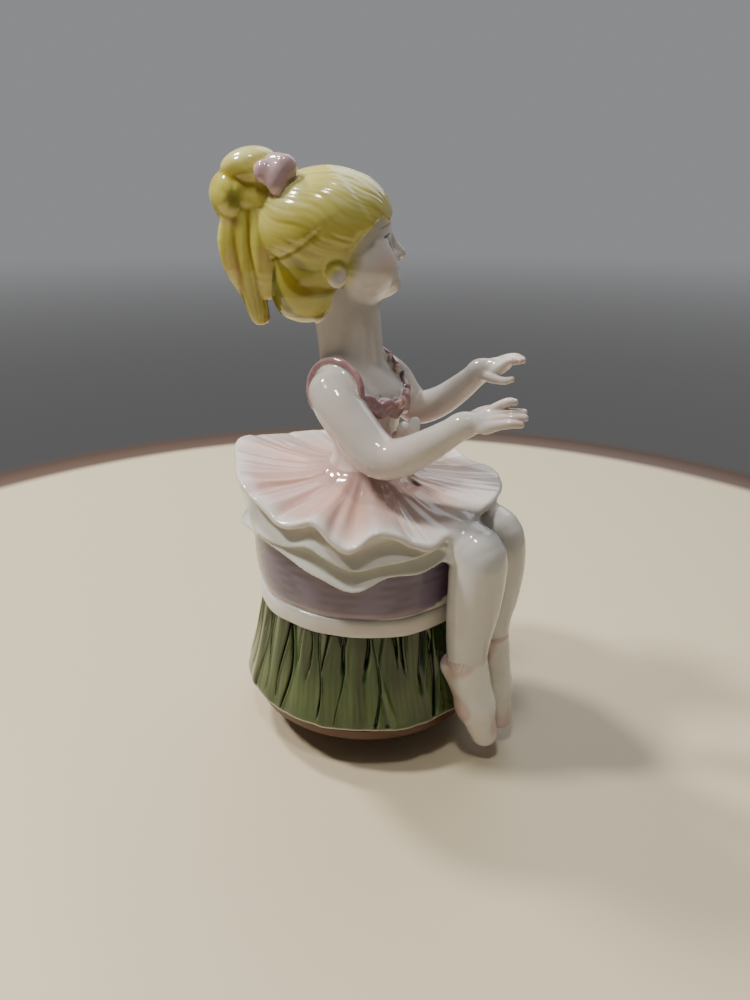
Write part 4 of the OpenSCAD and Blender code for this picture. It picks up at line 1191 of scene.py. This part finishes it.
def cushion_ring(angle, low=50.2, high=76.0, radius=37.6, roll=3.6):
    """The cushion's rounded outside in long brush strokes, with a white gap in front."""
    c, s = cos_sin(angle)
    mid, half = (low + high) / 2, (high - low) / 2

    def ring(a):
        z = mid + half * (1 if s > 0 else -1) * abs(s) ** 1.1 + 0 * a
        r = radius - roll + roll * abs(c) ** 0.7 + 0.2 * wobble(a, 31, ((5, 1), (11, 0.6)))
        rise = z + 0.9 * wobble(a, 55, ((3, 1), (7, 0.6), (12, 0.4)))
        brush = cloud(np.stack([a * 10, a * 0, rise * 1.7], 1), 1.3, 1.0)
        patch = cloud(np.stack([a * 16, a * 0 + 7, z * 0.5], 1), 2.4, 5.0)
        tint = blend(PLUM, LILAC, ramp(0.3, 0.75, brush))
        tint = blend(tint, VIOLET, 0.65 * patch)
        tint = blend(tint, HEATHER, 0.6 * np.exp(-((z - low - 3.0) / 0.8) ** 2))
        deg = np.degrees(a)
        deg = np.where(deg > 180, deg - 360, deg)
        end = np.minimum(np.abs(deg + 101), np.abs(deg + 79))
        tint = blend(tint, WINE, 0.85 * np.exp(-(end / 6.0) ** 2))
        rounded = np.abs(z - 60.0) / 7.5
        between = (deg > -100 + 3.5 * rounded ** 2) & (deg < -80 - 3.5 * rounded ** 2)
        hump = 4.0 * (np.exp(-((deg + 96) / 11.0) ** 2) + np.exp(-((deg + 84) / 11.0) ** 2))
        lower = ramp(0.7, -0.2, z - 51.6 - hump)
        return r + 1.0 * between, z, blend(tint, WHITE, np.maximum(lower, between))

    return ring


rings = [cushion_ring(g) for g in np.linspace(-90, 90, 25)]
rings += [inner_ring(30, 75, MAUVE), inner_ring(30, 52, MAUVE)]
turned("seat_cushion", sides // 2, rings, porcelain("seat_cushion", 0.14))


# ---------- stage, light, camera

BLACK = (0, 0, 0, 1)
WALL = (0.27, 0.273, 0.28, 1)
DIM_WALL = (0.085, 0.083, 0.08, 1)
DIM_FLOOR = (0.11, 0.11, 0.11, 1)
TABLE = (0.64, 0.55, 0.385, 1)
TABLE_RIM = (0.09, 0.055, 0.04, 1)
TABLE_END = (0.318, 0.345)
AHEAD = (0.809, 0.588, 0.0)


def smooth_step(tree, value, begin, end):
    """A smooth step from 0 to 1 as a value goes from begin to end."""
    limits = {"Value": value, "From Min": begin, "From Max": end}
    return add_node(tree, "MapRange", limits, interpolation_type="SMOOTHSTEP").outputs[0]


def backdrop(tree, direction):
    """Colour of the room in a direction: lighter ahead of the main view than behind it."""
    unit = add_node(tree, "VectorMath", {0: direction}, operation="NORMALIZE").outputs[0]
    ahead = add_node(tree, "VectorMath", {0: unit, 1: AHEAD}, operation="DOT_PRODUCT").outputs["Value"]
    return mix_colour(tree, smooth_step(tree, ahead, -0.3, 0.6), DIM_WALL, WALL)


def stage_floor():
    """A round table top; past its rim the floor glows with the room's own colour."""
    m, tree, shader = new_material("table")
    where = add_node(tree, "NewGeometry").outputs["Position"]
    far = add_node(tree, "VectorMath", {0: where}, operation="LENGTH").outputs["Value"]
    colour = mix_colour(tree, smooth_step(tree, far, 0.300, 0.312), TABLE, TABLE_RIM)
    colour = mix_colour(tree, smooth_step(tree, far, *TABLE_END), colour, BLACK)
    glow = mix_colour(tree, smooth_step(tree, far, 0.25, 2.2), DIM_FLOOR, backdrop(tree, where))
    glow = mix_colour(tree, smooth_step(tree, far, *TABLE_END), BLACK, glow)
    near = math_node(tree, "SUBTRACT", 1.0, smooth_step(tree, far, 0.31, 0.33))
    feed(tree, shader, {
        "Base Color": colour, "Emission Color": glow, "Emission Strength": 1.0, "Roughness": 0.5,
        "Specular IOR Level": math_node(tree, "MULTIPLY", near, 0.5),
    })
    m.cycles.emission_sampling = "NONE"
    bpy.ops.mesh.primitive_plane_add(size=30, location=(0, 0, -0.0002))
    floor = bpy.context.object
    floor.name = "floor"
    floor.data.materials.append(m)


def area_light(name, place, size, power, colour):
    """A round lamp aimed at the middle of the figurine."""
    light = bpy.data.lights.new(name, "AREA")
    light.shape = "DISK"
    light.size = size
    light.energy = power
    light.color = colour
    lamp = add_object(name, light)
    lamp.location = place
    lamp.rotation_euler = (Vector((0, 0, 0.08)) - Vector(place)).to_track_quat("-Z", "Y").to_euler()


stage_floor()
area_light("lamp left", (-0.45, 0.62, 1.15), 0.16, 14, (1.0, 0.96, 0.88))
area_light("lamp back", (0.05, 0.78, 1.10), 0.16, 13, (1.0, 0.96, 0.88))
area_light("lamp over", (-0.30, -0.10, 1.30), 0.14, 4.5, (1.0, 0.97, 0.92))
area_light("window", (0.9, 0.2, 0.9), 1.0, 4, (0.92, 0.96, 1.0))

world = bpy.data.worlds.new("room")
world.use_nodes = True
sky = world.node_tree
room = backdrop(sky, add_node(sky, "TexCoord").outputs["Generated"])
feed(sky, sky.nodes["Background"], {"Color": room})
bpy.context.scene.world = world

camera = bpy.data.cameras.new("camera")
camera.lens = 27.04
camera.sensor_width = 36
view = add_object("camera", camera)
view.location = (-0.1855, -0.1381, 0.1717)
view.rotation_euler = (math.radians(67.5), 0, math.radians(-54))
bpy.context.scene.camera = view
